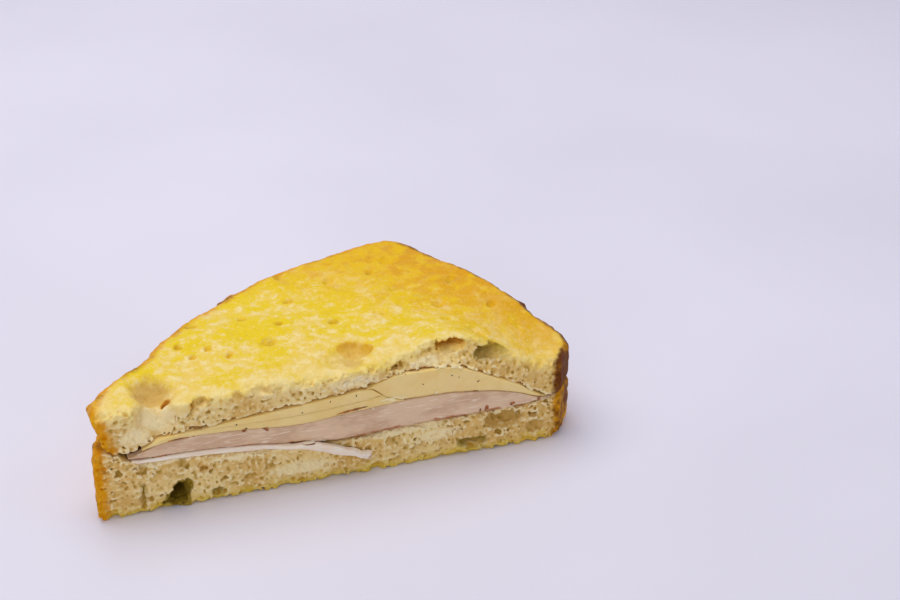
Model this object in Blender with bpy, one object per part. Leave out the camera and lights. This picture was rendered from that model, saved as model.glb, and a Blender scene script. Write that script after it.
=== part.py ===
"""Half of a toasted sandwich, cut across its middle: two slices of bread with turkey and cheese.

The cut face looks along -Y and runs along X. The half lies flat on Z = 0.
Every piece is a block of cells, (u, v, w), bent to its place: u runs along the cut,
v from the cut into the food and w from the piece's underside to its top.
"""

import math

import bmesh
import bpy
import numpy as np
from mathutils import Euler, Matrix, Vector, noise

MM = 0.001

# The whole half
CUT_LENGTH = 148.6
TOP_HEIGHT = 37.4
GAP = 0.35
LYING_GAP = 0.8
PINCH = 12.0
PINCH_HALF_GAP = 0.4

# The crust line seen from above: (along the cut, into the food), from the cut's left end round
# the back corner to its right end
CRUST_LINE = [
    (0.0, 4.0), (1.4, 9.0), (5.0, 15.0), (11.0, 20.0), (20.5, 25.0), (29.3, 35.8), (40.3, 49.6),
    (50.1, 57.9), (64.0, 67.4), (79.9, 75.8), (94.5, 80.6), (106.0, 84.4), (114.0, 85.2),
    (122.0, 81.0), (130.0, 68.0), (141.0, 44.0), (150.6, 24.0), (155.6, 15.2),
    (156.0, 10.2),
]

# Heights along the cut, as (along the cut, height)
SEAM = [(0.0, 22.7), (20.0, 21.4), (60.0, 18.8), (105.0, 17.8), (150.0, 15.8)]
BOTTOM_SLICE_TOP = [
    (0.0, 18.4), (23.0, 17.2), (33.0, 16.7), (47.0, 15.2), (63.0, 14.0), (73.0, 12.7), (82.0, 13.0),
    (97.0, 13.9), (150.0, 14.2),
]
TURKEY_BOTTOM = [
    (0.0, 20.0), (23.0, 19.3), (33.0, 19.0), (45.0, 18.0), (60.0, 15.9), (73.0, 14.2), (83.0, 13.9),
    (97.0, 14.6), (150.0, 14.8),
]
TURKEY_TOP = [
    (0.0, 21.0), (13.0, 21.6), (17.5, 23.4), (22.0, 24.3), (32.0, 24.6), (45.0, 23.7), (63.0, 21.8),
    (79.0, 23.0), (96.0, 24.0), (112.0, 23.7), (128.0, 21.4), (142.0, 17.2), (150.0, 16.0),
]
CHEESE_TOP = [
    (0.0, 24.3), (17.0, 25.5), (32.0, 26.4), (45.0, 27.4), (63.0, 28.6), (76.0, 29.6), (84.0, 30.4),
    (88.0, 31.4), (95.0, 33.3), (111.0, 32.8), (118.0, 30.8), (128.0, 25.6), (142.0, 18.8),
    (150.0, 17.2),
]
LEFT_CHEESE_END = [(85.0, 0.98), (90.5, 0.92), (94.0, 0.55), (97.0, 0.12)]

# Heights well inside the food, where the layers even out
DEEP_FROM_CUT = 36.0
DEEP_BOTTOM_SLICE_TOP = [(0.0, 14.3)]
DEEP_TURKEY_BOTTOM = [(0.0, 16.3), (54.0, 16.3), (72.0, 14.8)]
DEEP_TURKEY_TOP = [(0.0, 22.4), (54.0, 22.4), (90.0, 21.4)]
DEEP_CHEESE_TOP = [(0.0, 27.4), (54.0, 27.4), (90.0, 26.8)]

# Where each filling starts and ends along the cut, and how far it stays in from the crust
THIN_TURKEY_SPAN = (12.6, 84.2)
THIN_TURKEY_OUT = (51.0, 60.0)
THIN_TURKEY_DOWN = (60.0, 67.0)
THIN_TURKEY_DROOP = [(60.0, 15.2), (66.0, 14.2), (73.5, 10.9), (79.0, 8.1), (84.2, 5.4)]
THIN_TURKEY_THICKNESS = 2.3
THIN_TURKEY_TONGUE = 1.5
TURKEY_SPAN = (12.4, 141.0)
CHEESE_LEFT_SPAN = (17.0, 94.6)
CHEESE_LEFT_UPPER_SPAN = (34.0, 90.5)
CHEESE_RIGHT_SPAN = (92.5, 140.0)
FILLING_INSET = 15.0

# Bread surfaces
CRUST_RUN = 238.0
CRUST_SAMPLES = 241
CRUST_FADE = 12.0
CRUST_BULGE = 1.3
CRUST_ROUGHNESS = 0.9
CRUST_ROLL = 2.6
CRUST_ROLL_WIDTH = 5.0
FRONT_ROLL = 1.1
FRONT_ROLL_WIDTH = 5.0
TOP_WAVE = 0.7
UNDERSIDE_LIFT = 0.7
LEFT_LEAN = 4.2

# The right front corner of the top slice is pressed down, and its cut face is torn back there
PRESS_FROM = 116.0
PRESS_TO = 150.0
PRESS_DEPTH = 9.6
PRESS_REACH = 46.0
TEAR = [(0.0, 0.0), (88.0, 0.0), (99.0, 2.6), (109.0, 6.6), (121.0, 6.0), (131.0, 3.0), (142.0, 0.8)]
RIDGE_CENTRE = (107.0, 8.0)
RIDGE_RADIUS = 24.0
RIDGE_HEIGHT = 2.4

# Hollows, as (along the cut, from the cut, height), radii and turn about Z in degrees
NOTCH = ((22.9, -1.0, 0.2), (4.1, 15.0, 9.0), 0.0)
TOP_HOLLOWS = [
    ((20.5, 7.5, 40.5), (9.4, 10.5, 10.2), 20.0),
    ((19.8, -2.0, 34.0), (7.6, 7.0, 7.6), 0.0),
    ((21.8, 5.2, 30.6), (1.5, 1.7, 3.4), 0.0),
    ((82.5, 12.5, 38.6), (7.6, 5.6, 5.6), -8.0),
    ((112.5, 4.6, 36.3), (4.8, 5.0, 1.7), 12.0),
    ((126.5, 2.9, 32.6), (6.6, 5.4, 2.1), 4.0),
    ((95.0, 0.6, 35.1), (3.6, 3.1, 0.8), 9.0),
    ((29.9, 0.8, 33.0), (1.5, 2.3, 2.8), 17.0),
    ((44.8, -0.2, 35.0), (1.7, 2.2, 2.0), 0.0),
    ((52.4, -0.2, 35.4), (2.5, 2.2, 1.5), 0.0),
]
TOP_PITS = [
    (39.7, 44.3, 2.4), (32.6, 31.0, 2.2), (41.5, 28.3, 2.0), (74.6, 68.4, 2.2), (108.8, 48.4, 2.5),
    (98.8, 32.6, 2.2), (72.9, 50.9, 2.0), (60.0, 26.0, 1.9), (119.5, 33.5, 2.4), (56.0, 44.0, 1.8),
    (89.0, 60.0, 2.1), (128.0, 48.0, 2.2), (112.0, 68.0, 2.3), (136.0, 30.0, 2.1),
]
PIT_DEPTH = 1.3
BOTTOM_HOLLOWS = [
    ((26.3, -0.3, 15.2), (1.3, 2.0, 2.3), 0.0),
    ((33.0, -0.3, 11.8), (1.7, 2.0, 1.5), 0.0),
    ((13.9, -0.3, 5.4), (1.0, 2.6, 4.4), 0.0),
    ((14.3, -0.3, 15.4), (1.2, 2.0, 2.2), 0.0),
    ((36.6, -0.4, 2.6), (1.7, 2.6, 1.8), 0.0),
    ((46.4, -0.3, 6.2), (2.1, 1.9, 1.3), 0.0),
    ((53.2, -0.3, 8.4), (2.4, 2.2, 1.6), 0.0),
    ((130.0, -0.5, 9.6), (6.0, 3.6, 2.6), 0.0),
    ((140.6, -0.4, 5.6), (2.6, 2.4, 2.0), 0.0),
    ((119.0, -0.4, 4.0), (4.6, 3.0, 1.5), 0.0),
    ((93.4, -0.3, 9.6), (3.0, 2.2, 1.8), 0.0),
    ((101.5, -0.3, 6.0), (2.6, 2.2, 1.5), 0.0),
    ((84.6, -0.3, 4.2), (2.2, 2.2, 1.4), 0.0),
]

LARGE_HOLLOW = 3.0
LARGE_HOLLOW_SIDES = (12, 7)
SMALL_HOLLOW_SIDES = (7, 4)

# Small pores, spread by a seeded rule
PORES_PER_FACE = 34
PORE_RADIUS = (0.75, 1.9)
PORE_SPACING = 0.9
PORE_DEPTH = 1.3
PORE_STRETCH = 1.5
PORE_RIM = 0.8

# Colours as linear values
BREAD_COLOUR = (0.78, 0.60, 0.26, 1.0)
TURKEY_COLOUR = (0.52, 0.38, 0.32, 1.0)
PALE_TURKEY_COLOUR = (0.66, 0.52, 0.45, 1.0)
CHEESE_COLOUR = (0.72, 0.50, 0.20, 1.0)
BREAD_ROUGHNESS = 0.75
TURKEY_ROUGHNESS = 0.45
CHEESE_ROUGHNESS = 0.35
SMOOTH_ANGLE = math.radians(38.0)


def clear_scene():
    """Remove whatever the open file holds."""
    for old in list(bpy.data.objects):
        bpy.data.objects.remove(old, do_unlink=True)


def material(name, colour, roughness):
    """A plain finish of one colour."""
    finish = bpy.data.materials.new(name)
    finish.use_nodes = True
    shader = finish.node_tree.nodes["Principled BSDF"]
    shader.inputs["Base Color"].default_value = colour
    shader.inputs["Roughness"].default_value = roughness
    shader.inputs["Metallic"].default_value = 0.0
    return finish


def smooth(share):
    """Ease from 0 to 1."""
    share = min(max(share, 0.0), 1.0)
    return share * share * (3.0 - 2.0 * share)


def mix(low, high, share):
    return low + (high - low) * share


def along(profile, s):
    """Read a profile of (place, value) pairs at place s."""
    places, values = zip(*profile)
    return float(np.interp(s, places, values))


def bumps(x, y, z, size):
    """Smooth noise of about -1 to 1, with lumps of the given size."""
    return noise.noise(Vector((x, y, z)) / size)


def curve_through(points, count):
    """Points at equal steps along a Catmull-Rom curve through the given points."""
    knots = np.array(points)
    padded = np.vstack([2 * knots[0] - knots[1], knots, 2 * knots[-1] - knots[-2]])
    fine = []
    for before, start, end, after in zip(padded, padded[1:], padded[2:], padded[3:]):
        for t in np.linspace(0.0, 1.0, 12, endpoint=False):
            fine.append(0.5 * (
                2 * start + (end - before) * t
                + (2 * before - 5 * start + 4 * end - after) * t ** 2
                + (3 * start - before - 3 * end + after) * t ** 3
            ))
    fine = np.array(fine + [knots[-1]])
    lengths = np.concatenate([[0.0], np.cumsum(np.linalg.norm(np.diff(fine, axis=0), axis=1))])
    steps = np.linspace(0.0, lengths[-1], count)
    return np.column_stack([np.interp(steps, lengths, fine[:, axis]) for axis in (0, 1)])


CRUST = curve_through(CRUST_LINE, CRUST_SAMPLES)


def crust_point(u):
    """The crust line's place and its outward direction at share u of its length."""
    step = u * (CRUST_SAMPLES - 1)
    places = np.arange(CRUST_SAMPLES)
    here = np.array([np.interp(step, places, CRUST[:, axis]) for axis in (0, 1)])
    ahead = np.array([np.interp(step + 2, places, CRUST[:, axis]) for axis in (0, 1)])
    behind = np.array([np.interp(step - 2, places, CRUST[:, axis]) for axis in (0, 1)])
    run = (ahead - behind) / np.linalg.norm(ahead - behind)
    return here, np.array([-run[1], run[0]])


def from_crust(s, n):
    """Distance to the crust line."""
    return float(np.min(np.hypot(CRUST[:, 0] - s, CRUST[:, 1] - n)))


def depth_to_crust(s):
    """How far the food reaches from the cut at s."""
    return float(CRUST[np.abs(CRUST[:, 0] - s) < CRUST_RUN / CRUST_SAMPLES, 1].max())


def fullness(s, n):
    """From 0 at the crust, where the slices meet, to 1 where the fillings lie."""
    return smooth(from_crust(s, n) / PINCH)


def layer(profile, deep, s, n, side):
    """Height of a surface between the slices, drawn in to the seam near the crust."""
    inside = mix(along(profile, s), along(deep, s), smooth(n / DEEP_FROM_CUT))
    seam = along(SEAM, s) + side * PINCH_HALF_GAP
    return mix(seam, inside, fullness(s, n))


def bottom_slice_top(s, n):
    return layer(BOTTOM_SLICE_TOP, DEEP_BOTTOM_SLICE_TOP, s, n, -1)


def turkey_bottom(s, n):
    return layer(TURKEY_BOTTOM, DEEP_TURKEY_BOTTOM, s, n, -0.4)


def turkey_top(s, n):
    return layer(TURKEY_TOP, DEEP_TURKEY_TOP, s, n, 0.2)


def cheese_top(s, n):
    return layer(CHEESE_TOP, DEEP_CHEESE_TOP, s, n, 0.7)


def top_slice_bottom(s, n):
    return cheese_top(s, n) + LYING_GAP * fullness(s, n)


def toasted_top(s, n):
    """Height of the toasted upper face."""
    edge = from_crust(s, n)
    press = smooth((s - PRESS_FROM) / (PRESS_TO - PRESS_FROM)) * (1.0 - smooth(n / PRESS_REACH))
    wave = TOP_WAVE * (bumps(s, n, 0.0, 22.0) + 0.5 * bumps(s, n, 9.0, 9.0))
    roll = CRUST_ROLL * (1.0 - smooth(edge / CRUST_ROLL_WIDTH)) ** 2
    front = FRONT_ROLL * (1.0 - smooth(n / FRONT_ROLL_WIDTH)) ** 2
    ridge = RIDGE_HEIGHT * (1.0 - smooth(math.dist((s, n), RIDGE_CENTRE) / RIDGE_RADIUS))
    return TOP_HEIGHT + wave + ridge - PRESS_DEPTH * press - roll - front


def underside(s, n):
    """Height of the lower face: flat, lifted a little at its rim."""
    rim = min(from_crust(s, n), n + 1.5)
    return UNDERSIDE_LIFT * (1.0 - smooth(rim / 3.0)) ** 2


def block(name, place, us, vs, ws, finish):
    """A closed solid: a block of cells whose corners place(u, v, w) puts where they belong."""
    shape = (len(us), len(vs), len(ws))
    index = {}
    points = []
    for i, u in enumerate(us):
        for j, v in enumerate(vs):
            for k, w in enumerate(ws):
                on_skin = i in (0, shape[0] - 1) or j in (0, shape[1] - 1) or k in (0, shape[2] - 1)
                if on_skin:
                    index[i, j, k] = len(points)
                    points.append(Vector(place(u, v, w)) * MM)
    faces = []
    for axis in range(3):
        first, second = [other for other in range(3) if other != axis]
        for end in (0, shape[axis] - 1):
            for a in range(shape[first] - 1):
                for b in range(shape[second] - 1):
                    ring = []
                    for da, db in ((0, 0), (1, 0), (1, 1), (0, 1)):
                        cell = [0, 0, 0]
                        cell[axis] = end
                        cell[first] = a + da
                        cell[second] = b + db
                        ring.append(index[tuple(cell)])
                    outward = (end == 0) == (axis == 1)
                    faces.append(ring if outward else ring[::-1])
    mesh = bpy.data.meshes.new(name)
    mesh.from_pydata(points, [], faces)
    mesh.materials.append(finish)
    mesh.shade_smooth()
    mesh.set_sharp_from_angle(angle=SMOOTH_ANGLE)
    solid = bpy.data.objects.new(name, mesh)
    bpy.context.scene.collection.objects.link(solid)
    return solid


def even(count):
    return list(np.linspace(0.0, 1.0, count))


BREAD_US = even(33)
BREAD_VS = [0.0, 0.035, 0.1, 0.22, 0.4, 0.6, 0.78, 0.9, 0.965, 1.0]
BREAD_WS = [0.0, 0.16, 0.5, 0.84, 1.0]


def crust_swell(u, w, seed):
    """How far the crust stands out: a bulge and crags that fade at the cut."""
    run = u * CRUST_RUN
    crags = bumps(run, w * 18.0, seed, 11.0) + 0.8 * bumps(run, w * 18.0, seed, 4.5)
    fade = smooth(min(run, CRUST_RUN - run) / CRUST_FADE)
    return fade * (CRUST_BULGE * math.sin(math.pi * w) + CRUST_ROUGHNESS * crags)


def bread_bottom(finish):
    def place(u, v, w):
        edge, outward = crust_point(u)
        swell = crust_swell(u, w, 3.0)
        start = np.array([u * CUT_LENGTH, 0.35 * bumps(u * CUT_LENGTH, w * 14.0, 5.0, 7.0)])
        s, n = mix(start, edge + outward * swell, v)
        inner = mix(start, edge, v)
        low = underside(*inner)
        return s, n, mix(low, bottom_slice_top(*inner), w)

    return block("bread_bottom", place, BREAD_US, BREAD_VS, BREAD_WS, finish)


def bread_top(finish):
    def place(u, v, w):
        edge, outward = crust_point(u)
        swell = crust_swell(u, w, 8.0)
        lean = LEFT_LEAN * (1.0 - w) * (1.0 - smooth(u / 0.16))
        torn = along(TEAR, u * CUT_LENGTH) * w
        start = np.array([
            mix(lean, CUT_LENGTH, u), torn + 0.4 * bumps(u * CUT_LENGTH, w * 14.0, 2.0, 7.0),
        ])
        s, n = mix(start, edge + outward * swell + np.array([lean, 0.0]), v)
        inner = mix(start, edge, v)
        return s, n, mix(top_slice_bottom(*inner), toasted_top(*inner), w)

    return block("bread_top", place, BREAD_US, BREAD_VS, BREAD_WS, finish)


def filling_depth(s):
    """How far a filling reaches from the cut at s, clear of the crust."""
    reach = depth_to_crust(s)
    while reach > 2.5 and from_crust(s, reach) < FILLING_INSET:
        reach -= 0.5
    return reach


def sheet(name, span, cells, bottom, top, finish, front=0.0, reach=filling_depth):
    """A filling between two surfaces, with a softly rounded edge at the cut."""
    def place(u, v, w):
        s = mix(*span, u)
        face = front + 0.45 * bumps(s, w * 8.0, len(name), 6.0) + 0.5 * (2.0 * w - 1.0) ** 2
        n = mix(face, max(reach(s), face + 1.2), v ** 1.3)
        low, high = bottom(s, max(n, 0.0)), top(s, max(n, 0.0))
        rounding = 0.25 * (high - low) * (1.0 - smooth(min(u, 1.0 - u) * 14.0))
        return s, n, mix(low + rounding, high - rounding, w)

    along_cut, inward, upward = cells
    return block(name, place, even(along_cut + 1), even(inward + 1), even(upward + 1), finish)


def turkey_main(finish):
    return sheet(
        "turkey_main", TURKEY_SPAN, (24, 6, 3),
        lambda s, n: turkey_bottom(s, n) + GAP / 2,
        lambda s, n: turkey_top(s, n) - GAP / 2,
        finish, front=-0.5,
    )


def ease_between(limits, s):
    start, end = limits
    return smooth((s - start) / (end - start))


def turkey_thin(finish):
    """The thin slice under the main one; its right end has slid out and hangs down the face."""
    def place(u, v, w):
        s = mix(*THIN_TURKEY_SPAN, u)
        out = ease_between(THIN_TURKEY_OUT, s)
        front = mix(-0.6, -0.8 - THIN_TURKEY_TONGUE, out)
        inside = mix(front, max(filling_depth(s), 2.0), v ** 1.3)
        n = mix(inside, front + v * THIN_TURKEY_TONGUE, out)
        low = bottom_slice_top(s, max(n, 0.0)) + LYING_GAP
        high = turkey_bottom(s, max(n, 0.0)) - GAP / 2
        thickness = THIN_TURKEY_THICKNESS * (1.0 - 0.45 * smooth((s - 74.0) / 10.0))
        hung = along(THIN_TURKEY_DROOP, s) + thickness * (w - 0.5)
        return s, n, mix(mix(low, high, w), hung, ease_between(THIN_TURKEY_DOWN, s))

    return block("turkey_thin", place, even(20), even(6), even(2), finish)


def left_cheese_split(s, n):
    """The surface between the two left cheese slices."""
    low, high = turkey_top(s, n) + GAP / 2, cheese_top(s, n)
    return mix(low, high, along([(30.0, 0.86), (40.0, 0.55), (64.0, 0.5), (97.0, 0.42)], s))


def left_cheese_end(s, n):
    """The left slices end in a slope that the right one overlaps."""
    low, high = turkey_top(s, n) + GAP / 2, cheese_top(s, n)
    return mix(low, high, along(LEFT_CHEESE_END, s))


def cheese_left_lower(finish):
    def top(s, n):
        if s < CHEESE_LEFT_UPPER_SPAN[0] - 2.0:
            return mix(cheese_top(s, n), left_cheese_split(s, n) - GAP / 2, smooth((s - 26.0) / 6.0))
        return min(left_cheese_split(s, n) - GAP / 2, left_cheese_end(s, n) - GAP)

    return sheet(
        "cheese_left_lower", CHEESE_LEFT_SPAN, (18, 5, 2),
        lambda s, n: turkey_top(s, n) + GAP / 2, top, finish, front=-0.3,
    )


def cheese_left_upper(finish):
    return sheet(
        "cheese_left_upper", CHEESE_LEFT_UPPER_SPAN, (13, 5, 2),
        lambda s, n: left_cheese_split(s, n) + GAP / 2,
        lambda s, n: min(cheese_top(s, n), left_cheese_end(s, n) - GAP / 2),
        finish, front=-0.6,
    )


def cheese_right(finish):
    return sheet(
        "cheese_right", CHEESE_RIGHT_SPAN, (12, 5, 3),
        lambda s, n: max(turkey_top(s, n) + GAP / 2, left_cheese_end(s, n) + GAP),
        lambda s, n: cheese_top(s, n) - GAP / 2,
        finish, front=-0.1,
    )


def cutter(name, hollows):
    """One guide object that holds every egg-shaped hollow of a slice."""
    shapes = bmesh.new()
    for centre, radii, turn in hollows:
        sides, rings = LARGE_HOLLOW_SIDES if max(radii) > LARGE_HOLLOW else SMALL_HOLLOW_SIDES
        place = Matrix.LocRotScale(
            Vector(centre) * MM, Euler((0.0, 0.0, math.radians(turn))), Vector(radii) * MM
        )
        bmesh.ops.create_uvsphere(
            shapes, u_segments=sides, v_segments=rings, radius=1.0, matrix=place
        )
    mesh = bpy.data.meshes.new(name)
    shapes.to_mesh(mesh)
    shapes.free()
    guide = bpy.data.objects.new(name, mesh)
    guide.hide_render = True
    guide.display_type = "WIRE"
    bpy.context.scene.collection.objects.link(guide)
    return guide


def spread_pores(low, high, face, taken, seed):
    """Small pores over a cut face between two heights, clear of each other and of larger hollows."""
    rng = np.random.default_rng(seed)
    pores = []
    blocked = [(centre[0], centre[2], max(radii[0], radii[2])) for centre, radii, _ in taken]
    while len(pores) < PORES_PER_FACE:
        s = rng.uniform(5.0, CUT_LENGTH - 5.0)
        radius = mix(*PORE_RADIUS, rng.random() ** 2.2)
        wide = radius * rng.uniform(1.0, PORE_STRETCH)
        lowest, highest = low(s) + radius + PORE_RIM, high(s) - radius - PORE_RIM
        z = rng.uniform(lowest, highest) if highest > lowest else lowest
        clear = all(math.hypot(s - x, z - y) > wide + r + PORE_SPACING for x, y, r in blocked)
        if highest > lowest and clear:
            blocked.append((s, z, wide))
            pores.append(((s, face(s, z) - 0.3, z), (wide, PORE_DEPTH * radius, radius), 0.0))
    return pores


def cut_hollows(solid, hollows):
    """Cut a slice's hollows and return the guide that holds them."""
    guide = cutter(solid.name + "_hollows", hollows)
    cut = solid.modifiers.new("hollows", "BOOLEAN")
    cut.operation = "DIFFERENCE"
    cut.solver = "EXACT"
    cut.use_self = True
    cut.object = guide
    return guide


def top_pits():
    """Shallow dimples in the toasted face."""
    return [
        ((s, n, toasted_top(s, n) + radius - PIT_DEPTH), (1.25 * radius, radius, radius), 25.0 * (s % 3))
        for s, n, radius in TOP_PITS
    ]


def torn_face(s, z):
    """Where the top slice's cut face stands at height z."""
    low, high = top_slice_bottom(s, 0.0), toasted_top(s, 0.0)
    return along(TEAR, s) * smooth((z - low) / (high - low))


def shift_to_origin(solids):
    """The move that stands the middle of the whole box on the origin."""
    points = np.array([vertex.co for solid in solids for vertex in solid.data.vertices])
    lowest, highest = points.min(axis=0), points.max(axis=0)
    middle = (lowest + highest) / 2
    return Matrix.Translation(Vector((-middle[0], -middle[1], -lowest[2])))


def build():
    clear_scene()
    bread = material("bread", BREAD_COLOUR, BREAD_ROUGHNESS)
    turkey = material("turkey", TURKEY_COLOUR, TURKEY_ROUGHNESS)
    pale_turkey = material("pale_turkey", PALE_TURKEY_COLOUR, TURKEY_ROUGHNESS)
    cheese = material("cheese", CHEESE_COLOUR, CHEESE_ROUGHNESS)

    lower, upper = bread_bottom(bread), bread_top(bread)
    solids = [
        lower, upper, turkey_main(turkey), turkey_thin(pale_turkey),
        cheese_left_lower(cheese), cheese_left_upper(cheese), cheese_right(cheese),
    ]
    shift = shift_to_origin(solids)

    lower_hollows = [NOTCH] + BOTTOM_HOLLOWS
    lower_hollows += spread_pores(
        lambda s: 0.8, lambda s: bottom_slice_top(s, 0.0), lambda s, z: 0.0, lower_hollows, 4
    )
    upper_hollows = TOP_HOLLOWS + spread_pores(
        lambda s: top_slice_bottom(s, 0.0), lambda s: toasted_top(s, 0.0), torn_face, TOP_HOLLOWS, 7
    )
    guides = [cut_hollows(lower, lower_hollows), cut_hollows(upper, upper_hollows + top_pits())]
    for piece in solids + guides:
        piece.data.transform(shift)


build()
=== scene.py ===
"""Looks of one half of a toasted sandwich: browned, buttered bread with turkey and cheese between.

Places are worked out in millimetres along the cut (s), into the food (n) and upwards (z),
and are moved to the frame's metres when a mesh is made.
"""

from __future__ import annotations

import itertools
import logging
import math
from dataclasses import dataclass
from enum import Enum
from typing import Any, Callable, Sequence

import bpy
import numpy as np
from mathutils import Matrix, Vector
from mathutils.bvhtree import BVHTree

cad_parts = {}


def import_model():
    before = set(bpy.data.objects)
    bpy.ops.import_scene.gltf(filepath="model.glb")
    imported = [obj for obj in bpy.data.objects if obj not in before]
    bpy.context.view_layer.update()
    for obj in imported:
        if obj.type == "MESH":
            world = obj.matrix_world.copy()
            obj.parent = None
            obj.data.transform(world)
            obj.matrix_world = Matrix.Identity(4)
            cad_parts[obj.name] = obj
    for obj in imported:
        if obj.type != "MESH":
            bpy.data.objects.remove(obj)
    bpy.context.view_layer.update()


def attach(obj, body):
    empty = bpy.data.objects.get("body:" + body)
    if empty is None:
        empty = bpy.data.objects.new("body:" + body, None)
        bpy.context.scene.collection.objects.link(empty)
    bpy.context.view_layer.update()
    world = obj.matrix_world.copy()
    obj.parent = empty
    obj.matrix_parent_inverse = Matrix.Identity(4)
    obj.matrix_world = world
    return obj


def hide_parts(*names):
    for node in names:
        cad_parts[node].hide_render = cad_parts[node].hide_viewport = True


MM = 0.001
CUT_START = (-78.0, -42.103)
LOG = logging.getLogger("sandwich")

Array = np.ndarray
Points = Sequence[tuple[float, float]]
Rolls = Sequence[tuple[float, Points]]
Colour = tuple[float, float, float]
Surface = Callable[[Array, Array], Array]


class Slot(Enum):
    """The material slots."""

    BREAD = "bread"
    TURKEY = "turkey"
    CHEESE = "cheese"


class Side(Enum):
    """The toasted face of a slice, by the value that gives the depth under it."""

    ABOVE = "below"
    BELOW = "above"


def smooth(share: Array | float) -> Array:
    """Ease from 0 to 1."""
    share = np.clip(share, 0.0, 1.0)
    return share * share * (3.0 - 2.0 * share)


def mix(low: Array | float, high: Array | float, share: Array | float) -> Array:
    """Blend two values."""
    return low + (high - low) * share


def larger(a: Array, b: Array, rounding: float) -> Array:
    """The larger of two distances, with the edge between them rounded.

    Args:
        a: The first distance.
        b: The second distance.
        rounding: How wide the rounding is.

    Returns:
        The joined distance.
    """
    near = np.maximum(rounding - np.abs(a - b), 0.0) / rounding
    return np.maximum(a, b) + near * near * (rounding / 4.0)


class Lumps:
    """Smooth noise of about -1 to 1."""

    CELLS = 64

    def __init__(self, seed: int) -> None:
        """Draw the values that the noise is read from."""
        self.values = np.random.default_rng(seed).random((self.CELLS,) * 3, dtype=np.float32)

    def at(self, places: Sequence[Array | float], size: float) -> Array:
        """Read the noise.

        Args:
            places: Three coordinates, as arrays that broadcast together.
            size: The size of a lump.

        Returns:
            The noise at each place.
        """
        cells, blends = [], []
        for place in places:
            scaled = np.asarray(place, np.float32) / np.float32(size)
            whole = np.floor(scaled)
            cells.append(whole.astype(np.int32))
            blends.append(smooth(scaled - whole))
        total = np.float32(0.0)
        for corner in itertools.product((0, 1), repeat=3):
            weight, index = np.float32(1.0), []
            for bit, cell, blend in zip(corner, cells, blends):
                weight = weight * (blend if bit else 1.0 - blend)
                index.append((cell + bit) % self.CELLS)
            total = total + weight * self.values[tuple(index)]
        return 2.0 * total - 1.0


class Profile:
    """A value that changes smoothly along the cut."""

    STEPS = np.arange(-20.0, 180.0, 0.5)

    def __init__(self, points: Points, blur: float = 2.5) -> None:
        """Smooth the line through the points.

        Args:
            points: Places along the cut with their values.
            blur: How wide it is smoothed, in millimetres.
        """
        places, values = zip(*points)
        raw = np.interp(self.STEPS, places, values)
        reach = np.arange(-8.0, 8.5, 0.5)
        kernel = np.exp(-0.5 * (reach / blur) ** 2)
        padded = np.pad(raw, len(reach) // 2, mode="edge")
        self.values = np.convolve(padded, kernel / kernel.sum(), mode="valid")

    def at(self, s: Array | float) -> Array:
        """Read the value at places along the cut."""
        return np.interp(s, self.STEPS, self.values)


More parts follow.
